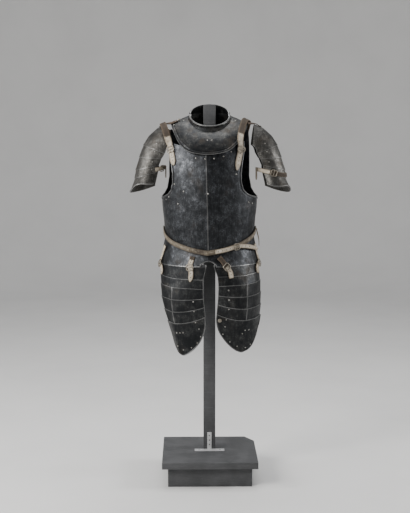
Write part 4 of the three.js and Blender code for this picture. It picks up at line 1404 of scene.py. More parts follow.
@dataclass
class Cuirass:
    """Breastplate, backplate and fauld."""

    torso: Torso
    finishes: Finishes
    rivets: Studs
    armpit: float = 1.135
    front_top_dip: float = 0.022
    front_top_rise: float = 0.007
    back_top: float = 1.400
    back_top_dip: float = 0.026
    waist_lip: float = 0.004
    back_underlap: float = 0.07
    armhole_roll: float = 0.003
    fauld_reach: float = 0.92
    fauld_tuck: float = 0.008
    arch_half: float = 0.030
    arch_rise: float = 0.021
    front_girth: float = 1.25
    back_girth: float = 1.15
    breast_outline: Table = field(default=Table(
        "rise reach",
        (0, 1), (0.94, 1), (1.0, 0.985), (1.02, 0.86), (1.045, 0.72), (1.085, 0.61),
        (1.16, 0.535), (1.28, 0.502), (1.44, 0.5), (1.62, 0.532), (1.82, 0.58), (2, 0.61),
    ))
    back_outline: Table = field(default=Table(
        "rise reach",
        (-0.12, 1), (0.92, 1), (1.0, 0.97), (1.025, 0.84), (1.06, 0.73), (1.13, 0.65),
        (1.3, 0.6), (1.55, 0.61), (1.8, 0.64), (2, 0.655),
    ))

    @property
    def tucked(self) -> float:
        """How far a plate lies off the skin where it is tucked under the breastplate."""
        return -(BREAST_WALL + SHELL_AIR)

    def height(self, low: Array, top: Array, rise: Array) -> Array:
        """Height on an outline: rise 0 is the lower edge, 1 the armpit and 2 the top."""
        return np.where(rise <= 1, mix(low, self.armpit, rise), mix(self.armpit, top, rise - 1))

    def breastplate(self) -> None:
        """The breastplate, with a keel and rolled armholes."""
        rise = stretches(0, (0.94, 29), (1.12, 33), (2, 49))
        reach = self.breast_outline.straight("reach", rise)
        width = 2 * self.torso.chest_half * np.sin(np.radians(90 * reach)) * self.front_girth
        keel = 0.5 + np.array([-0.008, -0.004, -0.0015, 0, 0.0015, 0.004, 0.008])
        share = through(stations(84, FINE, width), keel)
        u = mix(-1, 1, share) * reach[:, None]
        dip = self.front_top_dip * (1 - (u / reach[:, None]) ** 2)
        top = self.torso.neck_level + self.front_top_rise - dip
        z = self.height(self.torso.waist(u) - self.waist_lip, top, rise[:, None])
        armpit, middle = int(np.searchsorted(rise, 0.985)), int(np.argmin(np.abs(u[0])))
        plate = Plate(
            "breastplate_shell", self.torso, BREAST_WALL, u, self.torso.level(u, z), np.zeros(u.shape),
            roll=self.armhole_roll,
            rolled=lambda grid: [grid[armpit:, 0], grid[armpit:, -1]],
            groove=0.0011,
            grooved=lambda grid: [grid[armpit:, 0], grid[armpit:, -1]],
            groove_at=0.0085,
            # the hem, the armhole sides and the keel are worn paler and also carry a painted highlight
            wear_lines=lambda grid: [grid[0], grid[:, 0], grid[:, -1], grid[:, middle]],
        )
        hand_over(plate.make(self.finishes.breast), Slot.STEEL, "breastplate")

    def backplate(self) -> None:
        """The backplate, its sides tucked under the breastplate's."""
        rise = stretches(-0.12, (0.92, 31), (1.14, 29), (2, 39))
        reach = self.back_outline.straight("reach", rise) * (1 + self.back_underlap)
        width = 2 * self.torso.chest_half * np.sin(np.radians(90 * np.minimum(reach, 1))) * self.back_girth
        turn = mix(-1, 1, stations(64, FINE, width))
        u = 2 + turn * reach[:, None]
        top = self.back_top - self.back_top_dip * (1 - turn**2)
        z = self.height(self.torso.waist(u), top, rise[:, None])
        tuck = smoothstep(np.abs(u - 2), 0.84, 0.9) * (rise[:, None] <= 1.01)
        armpit = int(np.searchsorted(rise, 1.015))
        plate = Plate(
            "backplate_shell", self.torso, PLATE_WALL, u, self.torso.level(u, z), self.tucked * tuck,
            roll=self.armhole_roll,
            rolled=lambda grid: [grid[armpit:, 0], grid[armpit:, -1]],
        )
        hand_over(plate.make(self.finishes.plain), Slot.STEEL, "backplate")

    def fauld(self) -> None:
        """The waist lame, tucked under the breastplate, with an arch between the tassets."""
        fine = np.linspace(0, 0.115, 26)
        half = np.concatenate([fine, np.linspace(fine[-1], self.fauld_reach, 50)[1:]])
        u = np.concatenate([-half[:0:-1], half])[None, :]
        x = self.torso.chest_half * self.torso.rows.columns["width"][0] * np.sin(np.radians(90 * u))
        arch = self.arch_rise * np.sqrt(np.maximum(0, 1 - (x / self.arch_half) ** 2))
        lip, hem = self.torso.waist(u) - self.waist_lip - 0.002, self.torso.hem_level + arch
        low = 1 - np.array([1, 0.86, 0.7, 0.5, 0.32, 0.2, 0.12, 0.07, 0.035, 0.015, 0])
        down = np.concatenate([[-1, -0.5, 0], low[1:]])[:, None]
        top = self.torso.waist(u) + self.fauld_tuck
        z = np.where(down < 0, mix(lip, top, -down), mix(lip, hem, np.maximum(down, 0)))
        lift = self.tucked * (1 - smoothstep(down, 0.0, 0.5)) + 0 * u
        middle = slice(len(half) - 27, len(half) + 26)
        plate = Plate(
            "fauld_shell", self.torso, PLATE_WALL, u + 0 * down, self.torso.level(u, z), lift,
            roll=0.0022,
            rolled=lambda grid: [grid[-1, middle]],
            # the lower edge is worn paler and also carries a painted highlight
            wear_lines=lambda grid: [grid[-1]],
        )
        hand_over(plate.make(self.finishes.plain), Slot.STEEL, "fauld")

    def nail(self) -> None:
        """Rivets of the breast, where the photograph shows them, and a plain row on the back."""
        neck = [(-0.135, 1.291), (-0.015, 1.288), (0.105, 1.289), (0.235, 1.297), (0.355, 1.314)]
        left = [(-0.465, 1.191), (-0.315, 1.165), (-0.41, 1.117)]
        left_armhole = [(-0.9, 1.12), (-0.675, 1.13), (-0.59, 1.141)]
        right = [(0.415, 1.229), (0.63, 1.12), (0.725, 1.114), (0.01, 1.157)]
        for u, z in [*neck, *left, *left_armhole, *right]:
            self.rivets.put(self.torso.by_height(u, z, 0.0))
        for u in (1.55, 1.7, 1.85, 2.0, 2.15, 2.3, 2.45):
            self.rivets.put(self.torso.on_waist(u, 0.030, 0.0))

    def make(self) -> None:
        """Builds the sub-assembly."""
        self.breastplate()
        self.backplate()
        self.fauld()
        self.nail()


@dataclass
class Gorget:
    """The collar's two halves, overlapping at the shoulders."""

    skin: NeckSkin
    finishes: Finishes
    rivets: Studs
    collar_roll: float = 0.004
    underlap: float = 0.06

    def half_plate(self, name: str, middle: float, reach: float, tuck: float) -> bpy.types.Object:
        """One half of the gorget.

        Args:
            name: the piece's name.
            middle: where its middle is, in quarter turns from the front.
            reach: how far it reaches to both sides of that.
            tuck: how far its ends lie under the other half; 0 leaves them on top.

        Returns:
            The plate, which is not yet handed over.
        """
        v = stretches(0, (0.3, 13), (1, 11), (1.9, 39), (2, 13))[:, None]
        share = np.linspace(0, 1, 97)[None, :]
        under = tuck * smoothstep(np.abs(mix(-1, 1, share)), 0.8, 0.86)
        u = middle + mix(-reach, reach, share) + 0 * v
        plate = Plate(
            name, self.skin, PLATE_WALL, u, v + 0 * share, under + 0 * v,
            roll=self.collar_roll,
            rolled=lambda grid: [grid[0, 8:-8] if tuck else grid[0]],
            groove=0.0014,
            grooved=lambda grid: [grid[-1], grid[0]],
            groove_at=0.0098,
            # its rims and the crown of the collar roll are worn paler and also carry a painted highlight
            wear_width=0.0016,
        )
        return plate.make(self.finishes.gorget)

    def make(self) -> None:
        """Builds the sub-assembly."""
        hand_over(self.half_plate("gorget_front_shell", 0, 1, 0), Slot.STEEL, "gorget_front")
        tuck = -(PLATE_WALL + SHELL_AIR * 1.8)
        back = self.half_plate("gorget_back_shell", 2, 1 + self.underlap, tuck)
        hand_over(back, Slot.STEEL, "gorget_back")
        for u in (-0.03, 0.07):
            self.rivets.put(self.skin.rest(u, 1.45, 0.0), 0.9)
        for u in (-0.93, 0.93):
            for v in (1.25, 1.85):
                self.rivets.put(self.skin.rest(u, v, 0.0), 0.9)
        self.pin()

    def pin(self) -> None:
        """The pin that closes the gorget at its left shoulder."""
        seat = self.skin.rest(-0.99, 1.5, CLEARANCE)
        stem = [(0, 0), (0.0024, 0), (0.0021, 0.003)]
        head = [(0.0038, 0.0038), (0.0042, 0.0052), (0.003, 0.0068), (0, 0.0073)]
        thing = turned_knob("gorget_pin", seat, stem + head)
        thing.data.materials.append(self.finishes.iron)
        hand_over(thing, Slot.IRON, "gorget_pin_left")


def turned_knob(
    name: str, seat: tuple[Array, Array], profile: Sequence[tuple[float, float]]
) -> bpy.types.Object:
    """A knob turned from a profile of radius and height, standing on a seat.

    Args:
        name: the piece's name.
        seat: the point it stands on and the way out.
        profile: radius and height from its foot to its top.

    Returns:
        The knob.
    """
    sides = 24
    angle = np.arange(sides) / sides * 2 * np.pi
    rows = [points(r * np.cos(angle), r * np.sin(angle), h) for r, h in profile[1:-1]]
    spots = np.vstack([[[0, 0, profile[0][1]]], *rows, [[0, 0, profile[-1][1]]]])
    faces = []
    for i in range(sides):
        j = (i + 1) % sides
        faces.append([0, 1 + j, 1 + i])
        for k in range(len(rows) - 1):
            a = 1 + k * sides
            faces.append([a + i, a + j, a + sides + j, a + sides + i])
        a = 1 + (len(rows) - 1) * sides
        faces.append([a + i, a + j, len(spots) - 1])
    turn = Vector(seat[1]).to_track_quat("Z", "Y").to_matrix()
    placed = spots @ np.array(turn).T + seat[0]
    thing = make_mesh(name, placed, faces, 40.0)
    store(thing.data, "rim", np.full(len(placed), 0.3))
    return thing


@dataclass
class Tasset:
    """One tasset: five overlapping lames and a long end plate."""

    skin: TassetSkin
    finishes: Finishes
    rivets: Studs
    overlap: float = 0.011
    roll: float = 0.002
    ridge_rise: float = 0.0012

    @property
    def under(self) -> float:
        """How deep a lame lies under the fauld."""
        return -(PLATE_WALL + SHELL_AIR)

    @property
    def shortest(self) -> float:
        """Length of the shortest lame below the first."""
        return min(self.skin.lame_length(k) for k in range(1, 5))

    @property
    def tilt(self) -> float:
        """How far a lame's top edge stands out over the one above it."""
        return (PLATE_WALL + SHELL_AIR) * (1 + self.overlap / self.shortest)

    def across(self, v: Array) -> Array:
        """Places across each row, close together at the edges and at the ridge.

        Args:
            v: the levels of the rows.

        Returns:
            One row of places for each level.
        """
        ends = self.skin.at(np.array([[0.0, 1.0]]), v[:, None])
        width = np.linalg.norm(ends[:, 1] - ends[:, 0], axis=-1) * 1.2
        near = np.array([-0.012, -0.006, -0.002, 0, 0.002, 0.006, 0.012])
        even = stations(30, FINE[:-1], np.maximum(width, 0.02))
        return through(even, near + self.skin.ridge_at(v)[:, None])

    def crease(self, u: Array, v: Array) -> Array:
        """Height of the ridge that runs down the lower lames."""
        reach = smoothstep(v, 1.7, 2.2) * (1 - smoothstep(v, 4.95, 5.1))
        return self.ridge_rise * np.maximum(0, 1 - np.abs(u - self.skin.ridge_at(v)) / 0.035) * reach

    def ridge_line(self, grid: Array, u: Array, v: Array) -> Array:
        """The ridge's points in a grid."""
        return grid[:, int(np.argmin(np.abs(u - self.skin.ridge_at(v)).sum(0)))]

    def lame(self, k: int) -> None:
        """Lame k: the first is tucked under the fauld, and each other lies over the one above it.

        Args:
            k: which lame, counted from 0 at the top.
        """
        length = self.skin.lame_length(k) + self.overlap
        bottom = k + 1 + self.overlap / self.skin.lame_length(k + 1)
        if k == 0:
            top = [-self.overlap / self.skin.lame_length(0)]
            levels = np.concatenate([top, np.linspace(0, 1, 12), [bottom]])
        else:
            top = k + np.array([0, 0.02, 0.05, 0.09, 0.14, 0.2])
            levels = np.concatenate([top, np.linspace(k + 0.3, k + 1, 8), [bottom]])
        v = levels[:, None]
        down = np.where(v <= k + 1, (v - k) * self.skin.lame_length(k), length)
        lift = self.under + (0 if k == 0 else self.tilt * (1 - down / length))
        u = self.across(levels)
        name = f"tasset_{self.skin.side.label}_lame_{k + 1}"
        plate = Plate(
            name + "_shell", self.skin, PLATE_WALL, u, v + 0 * u, lift + self.crease(u, v + 0 * u),
            # each lower lame's top edge, both side edges and the ridge are worn paler and painted with a
            # highlight where the light would catch them
            wear_lines=lambda grid: [
                *([] if k == 0 else [grid[0]]),
                grid[:, 0],
                grid[:, -1],
                *([self.ridge_line(grid, u, v)] if k >= 2 else []),
            ],
            wear_width=0.0012,
        )
        hand_over(plate.make(self.finishes.tasset), Slot.STEEL, name)

    def end_lift(self, v: Array) -> Array:
        """How far the end plate stands off its skin."""
        down = (v - 5) * self.skin.end_plate_length
        return self.under + self.tilt * np.clip(1 - down / (self.shortest + self.overlap), 0, 1)

    def end_plate(self) -> None:
        """The end plate, with a thin roll round its free edge."""
        top = 5 + np.array([0, 0.006, 0.015, 0.03, 0.05, 0.08])
        levels = np.concatenate([top, stretches(5.12, (5.8, 25), (6, 23))])
        u = self.across(levels)
        v = levels[:, None] + 0 * u
        plate = Plate(
            f"tasset_{self.skin.side.label}_end_shell", self.skin, PLATE_WALL, u, v, self.end_lift(v),
            roll=self.roll,
            rolled=lambda grid: [grid[:, 0], grid[:, -1], grid[-1]],
        )
        name = f"tasset_{self.skin.side.label}_end_plate"
        hand_over(plate.make(self.finishes.tasset), Slot.STEEL, name)

    def nail(self) -> None:
        """Rivets down the inner edge, round the end plate's rim and in its middle."""
        inner = {
            Side.LEFT: [(0.245, 3.2), (0.26, 4.1)],
            Side.RIGHT: [(0.23, 2.4), (0.245, 3.3), (0.25, 4.15)],
        }
        for u, v in inner[self.skin.side]:
            self.rivets.put(self.skin.rest(u, v, self.under + self.tilt * 0.75))
        rim = {
            Side.LEFT: [(0.265, 5.05), (0.175, 5.26), (0.08, 5.495), (0.11, 5.66), (0.25, 5.78)],
            Side.RIGHT: [(0.215, 5.05), (0.195, 5.26), (0.09, 5.5), (0.17, 5.7), (0.34, 5.82)],
        }
        outer = {Side.LEFT: [(0.63, 5.835), (0.88, 5.72)], Side.RIGHT: [(0.71, 5.87), (0.9, 5.8)]}
        middle = {
            Side.LEFT: [(0.635, 5.29), (0.73, 5.295), (0.825, 5.3)],
            Side.RIGHT: [(0.66, 5.32), (0.75, 5.32), (0.6, 5.42)],
        }
        for u, v in [*rim[self.skin.side], *outer[self.skin.side], *middle[self.skin.side]]:
            self.rivets.put(self.skin.rest(u, v, float(self.end_lift(np.float64(v)))), 0.85)

    def knob(self) -> None:
        """The knob at the inner edge of the right end plate."""
        seat = self.skin.rest(0.08, 5.12, float(self.end_lift(np.float64(5.12))) + CLEARANCE)
        stem = [(0, 0), (0.0042, 0), (0.0036, 0.0032)]
        head = [(0.006, 0.0045), (0.0074, 0.0062), (0.0068, 0.0082), (0.004, 0.0095), (0, 0.0098)]
        thing = turned_knob("tasset_knob", seat, stem + head)
        thing.data.materials.append(self.finishes.iron)
        hand_over(thing, Slot.IRON, "tasset_knob_right")

    def make(self) -> None:
        """Builds the sub-assembly."""
        for k in range(5):
            self.lame(k)
        self.end_plate()
        self.nail()
        if self.skin.side is Side.RIGHT:
            self.knob()


@dataclass
class Spaudler:
    """One shoulder: the main plate, three lames and a lower plate with a rolled rim."""

    skin: ArmSkin
    finishes: Finishes
    rivets: Studs
    overlap: float = 0.28
    slack: float = 1.3
    lower_roll: float = 0.0025

    def plate(self, node: str, levels: Array, lift: Array, roll: float = 0.0) -> None:
        """One plate of the shoulder.

        Args:
            node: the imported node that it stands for.
            levels: the levels of its rows.
            lift: how far each row stands off the skin.
            roll: radius of its rolled lower rim; 0 leaves the rim plain.
        """
        ends = self.skin.half_depth * 3.4
        share = stations(60, FINE[:-1], np.full(len(levels), ends))
        u = mix(-1, 1, share)
        plate = Plate(
            node + "_shell", self.skin, PLATE_WALL, u, levels[:, None] + 0 * u, lift[:, None] + 0 * u,
            roll=roll,
            rolled=(lambda grid: [grid[-1]]) if roll else None,
            # the lower and side edges are worn paler and also carry a painted highlight
            wear_lines=lambda grid: [grid[-1], grid[:, 0], grid[:, -1]],
        )
        hand_over(plate.make(self.finishes.arm), Slot.STEEL, node)

    def make(self) -> None:
        """Builds the sub-assembly."""
        name = f"spaudler_{self.skin.side.label}"
        levels = np.concatenate([np.linspace(0, 2.85, 46), [2.9, 2.94, 2.97, 2.985, 3]])
        self.plate(f"{name}_main", levels, np.zeros(len(levels)))
        tuck = -(PLATE_WALL + CLEARANCE) * (1 + self.overlap * self.slack)
        for k in (3, 4, 5, 6):
            start = k - self.overlap
            end = k + np.array([0.92, 0.95, 0.97, 0.985, 1])
            levels = np.concatenate([np.linspace(start, k + 0.88, 16), end])
            lift = tuck * (1 - (levels - start) / (1 + self.overlap))
            node = f"{name}_lower" if k == 6 else f"{name}_lame_{k - 2}"
            self.plate(node, levels, lift, self.lower_roll if k == 6 else 0.0)
        for u, v, down in ((-0.66, 2.06, 0.0), (-0.7, 3.17, 0.65), (-0.75, 4.38, 0.5), (-0.79, 5.4, 0.48)):
            for way in (1, -1):
                self.rivets.put(self.skin.rest(u * way, v, tuck * down), 0.8)


@dataclass
class StrapPiece:
    """A flat leather strap along a path, with soft edges and a slight waviness."""

    name: str
    path: Path
    width: float
    tip: float = 0.0
    tip_share: float = 0.24
    tan_until: float = 0.0
    rings: int = 110
    waviness: float = 0.012

    def half_width(self, t: Array) -> Array:
        """Half the width along the strap, with a tip cut to a point.

        Args:
            t: shares of the way along.

        Returns:
            Half the width at each.
        """
        left = np.minimum((1 - t) / max(self.tip, 1e-6), 1)
        shape = mix(self.tip_share, 1, np.sin(left * np.pi / 2) ** 0.85)
        wave = np.sin(23 * t + len(self.name))  # starts elsewhere on straps with longer names
        return self.width / 2 * shape * (1 + self.waviness * wave)

    def make(self, material: bpy.types.Material) -> bpy.types.Object:
        """Builds the strap.

        Args:
            material: its leather.

        Returns:
            The strap.
        """
        t = np.linspace(0, 1, self.rings)
        p, _, across, out = self.path.frames(t)
        soft = LEATHER_WALL * 0.3
        full, crown = LEATHER_WALL, LEATHER_WALL * 1.02
        ring = [(-1, soft, 0), (-1, full - soft, 0), (-1, full, soft), (-0.5, crown, 0), (0, crown, 0)]
        ring += [(0.5, crown, 0), (1, full, -soft), (1, full - soft, 0), (1, soft, 0), (1, 0, -soft)]
        ring += [(0, 0, 0), (-1, 0, soft)]
        half = self.half_width(t)
        rows = [p + across * (side * half + shift)[:, None] + out * up for side, up, shift in ring]
        spots = np.stack(rows, 1)
        size = len(ring)
        faces = tube_faces(self.rings, size).tolist()
        faces += [list(range(size))[::-1], list(range((self.rings - 1) * size, self.rings * size))]
        strap = make_mesh(self.name, spots, faces, 60.0)
        rim = np.array([1 if abs(side) == 1 else 0.0 for side, _, _ in ring])
        length = np.cumsum(np.r_[0, np.linalg.norm(np.diff(p, axis=0), axis=1)])
        ends = np.exp(-(length[-1] - length) / 0.003)
        store(strap.data, "rim", np.maximum(rim[None, :], ends[:, None]))
        tan = 1 - smoothstep(t, self.tan_until - 0.05, self.tan_until + 0.03)
        store(strap.data, "tan", np.repeat(tan[:, None], size, 1))
        strap.data.materials.append(material)
        return strap


class Frame(Enum):
    """Shape of a buckle's frame: the power of its outline, and how much wider it is drawn."""

    SQUARE = (0.4, 0.005)
    ROUND = (0.935, 0.018)


def round_bar(line: Array, radius: Array, closed: bool, first: int) -> tuple[Array, list[list[int]]]:
    """A round bar along a line of points that lies flat.

    Args:
        line: the bar's middle line.
        radius: its radius at each point.
        closed: whether its end joins its start.
        first: the number of its first point in the mesh.

    Returns:
        Its points and its faces.
    """
    sides = 10
    way = unit(np.roll(line, -1, 0) - np.roll(line, 1, 0)) if closed else unit(np.gradient(line, axis=0))
    flat, up = unit(np.cross(way, [0, 0, 1]))[:, None], np.array([0, 0, 1])
    angle = (np.arange(sides) / sides * 2 * np.pi)[None, :, None]
    rows = line[:, None] + radius[:, None, None] * (flat * np.cos(angle) + up * np.sin(angle))
    faces = (tube_faces(len(line), sides, closed) + first).tolist()
    if not closed:
        last = first + (len(line) - 1) * sides
        faces += [list(range(first, first + sides))[::-1], list(range(last, last + sides))]
    return rows.reshape(-1, 3), faces


@dataclass
class Buckle:
    """A forged buckle frame with a middle bar and a tongue, lying flat on a strap."""

    name: str
    path: Path
    at: float
    strap_width: float
    frame: Frame = Frame.SQUARE
    margin: float = 0.005
    length: float = 0.026
    bar: float = 0.0017
    tongue: float = 0.0011

    def seat(self) -> tuple[Array, Array, Array, Array]:
        """Where the buckle lies: a point, the way along, the way across and the way out.

        Returns:
            The point, then the three ways.
        """
        p, along, across, out = (row[0] for row in self.path.frames(np.array([self.at])))
        t = np.linspace(max(0, self.at - 0.2), min(1, self.at + 0.2), 120)
        line, _, side, up = self.path.frames(t)
        edges = [line + up * LEATHER_WALL + side * way * self.strap_width / 2 for way in (-1, 1)]
        tops = np.vstack(edges) - p
        close = np.abs(tops @ along) < self.length / 2
        rise = max(LEATHER_WALL, float(np.max(tops[close] @ out))) + CLEARANCE * 0.6
        return p + out * rise, along, across, out

    def outline(self, count: int = 48) -> Array:
        """The frame's centre line, flat on the strap.

        Args:
            count: how many points it has.

        Returns:
            Places across and along the strap.
        """
        half = np.array([self.strap_width / 2 + self.margin - self.bar, self.length / 2 - self.bar])
        power, wider = self.frame.value
        angle = np.arange(count) / count * 2 * np.pi
        way = np.stack([np.cos(angle), np.sin(angle)], -1)
        return np.sign(way) * np.abs(way) ** power * (half + min(half) * wider)

    def make(self, material: bpy.types.Material) -> bpy.types.Object:
        """Builds the buckle as one piece.

        Args:
            material: its iron.

        Returns:
            The buckle.
        """
        p, along, across, out = self.seat()
        edge = self.outline()
        ring = np.column_stack([edge, np.full(len(edge), self.bar)])
        reach = self.strap_width / 2 + self.margin - self.bar
        cross_bar = points(np.linspace(-1, 1, 7) * reach, 0, self.bar)
        share = np.linspace(0, 1, 9)
        hump = self.bar * (1.9 + 0.7 * np.sin(share * np.pi))
        tongue = points(0.0002 * share, share * self.length / 2, hump)
        bars = (
            (ring, np.full(len(ring), self.bar), True),
            (cross_bar, np.full(len(cross_bar), self.bar * 0.75), False),
            (tongue, self.tongue * (1 - 0.45 * share), False),
        )
        spots, faces = np.empty((0, 3)), []
        for line, radius, closed in bars:
            more, sides = round_bar(line, radius, closed, len(spots))
            spots, faces = np.vstack([spots, more]), faces + sides
        turn = np.column_stack([across, along, out])
        placed = spots @ turn.T + p
        thing = make_mesh(self.name, placed, faces, 60.0)
        store(thing.data, "rim", np.full(len(placed), 0.4))
        thing.data.materials.append(material)
        return thing


@dataclass
class Harness:
    """Every strap and buckle, and the belt."""

    torso: Torso
    neck: NeckSkin
    legs: dict[Side, TassetSkin]
    arms: dict[Side, ArmSkin]
    finishes: Finishes
    holes: Studs
    nails: Studs
    shoulder_width: float = 0.025
    tasset_width: float = 0.020
    belt_width: float = 0.020
    arm_width: float = 0.016
    hanger_width: float = 0.022
    tail_width: float = 0.014
    belt_up: float = 0.005
    arm_tail_above: float = 0.006
    arm_tail_fall: float = 0.046
    arm_tail_lean: float = 0.0045

    def strap(
        self,
        piece: StrapPiece,
        leather: bpy.types.Material,
        slot: Slot,
        node: str,
        holes: Sequence[float] = (),
    ) -> None:
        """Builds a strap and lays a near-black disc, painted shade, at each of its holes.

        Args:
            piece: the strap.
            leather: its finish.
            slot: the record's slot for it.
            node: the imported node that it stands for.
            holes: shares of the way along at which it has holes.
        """
        hand_over(piece.make(leather), slot, node)
        if holes:
            p, _, _, out = piece.path.frames(np.array(holes))
            for spot, way in zip(p, out):
                self.holes.put((spot + way * (LEATHER_WALL * 1.02), way))

    def buckle(self, node: str, path: Path, at: float, width: float, frame: Frame = Frame.SQUARE) -> None:
        """Builds a buckle."""
        thing = Buckle(node + "_iron", path, at, width, frame).make(self.finishes.iron)
        hand_over(thing, Slot.IRON, node)

    def shoulders(self) -> None:
        """The two straps over the shoulders."""
        rise = LEATHER_WALL + CLEARANCE
        arm, body, neck = self.arms[Side.LEFT], self.torso, self.neck
        left = Path([
            body.rest(-1.47, 0.9, STRAP_AIR),
            body.rest(-1.43, 1.06, STRAP_AIR * 3),
            arm.rest(0.55, 0.25, STRAP_AIR * 6 + rise),
            arm.rest(0, 0.35, STRAP_AIR * 4.4 + rise),
            arm.rest(-0.42, 0.25, STRAP_AIR * 4 + rise),
            arm.rest(-0.8, 0.1, STRAP_AIR * 4 + rise),
            body.rest(-0.54, 0.965, STRAP_AIR * 4),
            body.rest(-0.51, 0.9, STRAP_AIR * 2),
            body.rest(-0.485, 0.84, STRAP_AIR * 1.6),
            body.rest(-0.462, 0.79, STRAP_AIR * 1.4),
        ])
        right = Path([
            body.rest(1.47, 0.9, STRAP_AIR),
            body.rest(1.44, 1.05, STRAP_AIR * 3),
            neck.rest(1.24, 1.95, STRAP_AIR * 15 + rise),
            neck.rest(1.0, 1.74, STRAP_AIR * 3 + rise),
            neck.rest(0.78, 1.8, STRAP_AIR * 3 + rise),
            neck.rest(0.66, 1.96, STRAP_AIR * 3.6 + LEATHER_WALL),
            body.rest(0.505, 0.94, STRAP_AIR * 2.5),
            body.rest(0.46, 0.84, STRAP_AIR * 1.6),
            body.rest(0.42, 0.745, STRAP_AIR * 1.4),
        ])
        rows = (("left", left, 0.71, 0.55, Frame.SQUARE), ("right", right, 0.75, 0.58, Frame.ROUND))
        for name, path, place, tan, shape in rows:
            leather = f"shoulder_strap_{name}_leather"
            piece = StrapPiece(leather, path, self.shoulder_width, 0.1, tan_until=tan, rings=170)
            holes = [place + 0.05 + 0.045 * i for i in range(4)]
            self.strap(piece, self.finishes.pale, Slot.PALE, f"shoulder_strap_{name}", holes)
            self.buckle(f"shoulder_buckle_{name}", path, place, self.shoulder_width, shape)

    def hangers(self) -> None:
        """The brown straps that carry the spaudlers from the gorget."""
        for side, arm in self.arms.items():
            path = Path([
                self.neck.rest(side.value, 1.6, CLEARANCE),
                self.neck.rest(side.value, 1.78, CLEARANCE),
                self.neck.rest(side.value, 1.95, STRAP_AIR),
                arm.rest(0, 0.12, STRAP_AIR * 2),
                arm.rest(0, 0.5, CLEARANCE),
                arm.rest(0, 0.8, CLEARANCE),
            ])
            piece = StrapPiece(f"spaudler_hanger_{side.label}_leather", path, self.hanger_width, rings=50)
            self.strap(piece, self.finishes.brown, Slot.BROWN, f"spaudler_hanger_{side.label}")
            p, _, _, out = path.frames(np.array([0.1, 0.9]))
            for spot, way in zip(p, out):
                self.nails.put((spot + way * LEATHER_WALL, way))

    def belt(self) -> None:
        """The waist belt, a closed band, as one soft-edged ring."""
        turns = np.linspace(0, 4, 221)[1:]
        foot, out = self.torso.on_waist(turns, self.belt_up, STRAP_AIR * 1.8)
        out = unit(out * [1, 1, 0])
        half, soft = self.belt_width / 2, LEATHER_WALL * 0.3
        full, inset = LEATHER_WALL, half - soft
        ring = [(-half, soft), (-half, full - soft), (-inset, full), (0, full * 1.03), (inset, full)]
        ring += [(half, full - soft), (half, soft), (inset, 0), (-inset, 0)]
        wave = 0.0006 * np.sin(turns * 9) + 0.0004 * np.sin(turns * 23)
        rows = [foot + out * off + points(0, 0, up + wave) for up, off in ring]
        spots = np.stack(rows, 1)
        faces = tube_faces(len(turns), len(ring), closed=True).tolist()
        belt = make_mesh("waist_belt_leather", spots, faces, 60.0)
        rim = np.array([1 if abs(up) > half - 2 * soft else 0.0 for up, _ in ring])
        store(belt.data, "rim", np.repeat(rim[None, :], len(turns), 0))
        across = (turns + 2) % 4 - 2
        tan = 0.55 * np.exp(-(((across + 0.13) / 0.2) ** 2)) + 0.35 * smoothstep(np.abs(across), 1.1, 1.6)
        store(belt.data, "tan", np.repeat(tan[:, None], len(ring), 1))
        belt.data.materials.append(self.finishes.belt)
        hand_over(belt, Slot.PALE, "waist_belt")

    def belt_end(self) -> None:
        """The belt's holed end over the belt, its buckle, and the spare strap at the right hip."""
        top, up, on = STRAP_AIR * 1.8 + LEATHER_WALL + CLEARANCE, self.belt_up, self.torso.on_waist
        path = Path([
            on(0.09, up + 0.001, top),
            on(0.25, up + 0.001, top),
            on(0.42, up - 0.001, top + 0.001),
            on(0.55, up - 0.014, top + 0.003),
            on(0.7, up - 0.036, top + 0.004),
            on(0.85, up - 0.062, top + 0.004),
        ])
        tail = StrapPiece("belt_tail_leather", path, self.tail_width + 0.003, 0.1)
        self.strap(tail, self.finishes.pale, Slot.PALE, "belt_tail", [0.05, 0.12, 0.19, 0.26, 0.6, 0.7])
        self.buckle("belt_buckle", path, 0.375, self.tail_width + 0.003)
        spare = Path([
            on(1.02, up, top),
            on(1.03, up - 0.018, top + 0.003),
            on(1.0, up - 0.045, top + 0.006),
            on(0.98, up - 0.068, top + 0.004),
        ])
        loose = StrapPiece("hip_strap_leather", spare, self.tail_width, 0.2)
        self.strap(loose, self.finishes.pale, Slot.PALE, "hip_strap")

    def tasset_straps(self) -> None:
        """The four straps that carry the tassets from the belt."""
        rows = {
            "left_hip": (Side.LEFT, (-0.77, -0.82, -0.85), 0.965, 1.0, 0.0),
            "left_front": (Side.LEFT, (-0.212, -0.222, -0.232), 0.3, 1.25, 0.2),
            "right_front": (Side.RIGHT, (0.14, 0.185, 0.218), 0.31, 1.2, 0.55),
            "right_hip": (Side.RIGHT, (0.84, 0.865, 0.87), 0.95, 1.2, 0.0),
        }
        hem = self.torso.hem_level
        for name, (side, along, lame, end, tanned) in rows.items():
            places = [
                self.torso.by_height(u, mix(self.torso.waist(u), hem, share), STRAP_AIR)
                for u, share in zip(along, (0.32, 0.62, 0.95))
            ]
            leg = self.legs[side]
            path = Path([*places, leg.rest(lame, 0.5, STRAP_AIR), leg.rest(lame, end, STRAP_AIR)])
            tip = 0.03 if name == "right_front" else 0.15
            blunt = 0.8 if name == "right_front" else 0.24
            node = f"tasset_strap_{name}"
            piece = StrapPiece(node + "_leather", path, self.tasset_width, tip, blunt, tanned, rings=80)
            self.strap(piece, self.finishes.pale, Slot.PALE, node, [0.22, 0.34, 0.75, 0.87])
            self.buckle(f"tasset_buckle_{name}", path, 0.55, self.tasset_width)

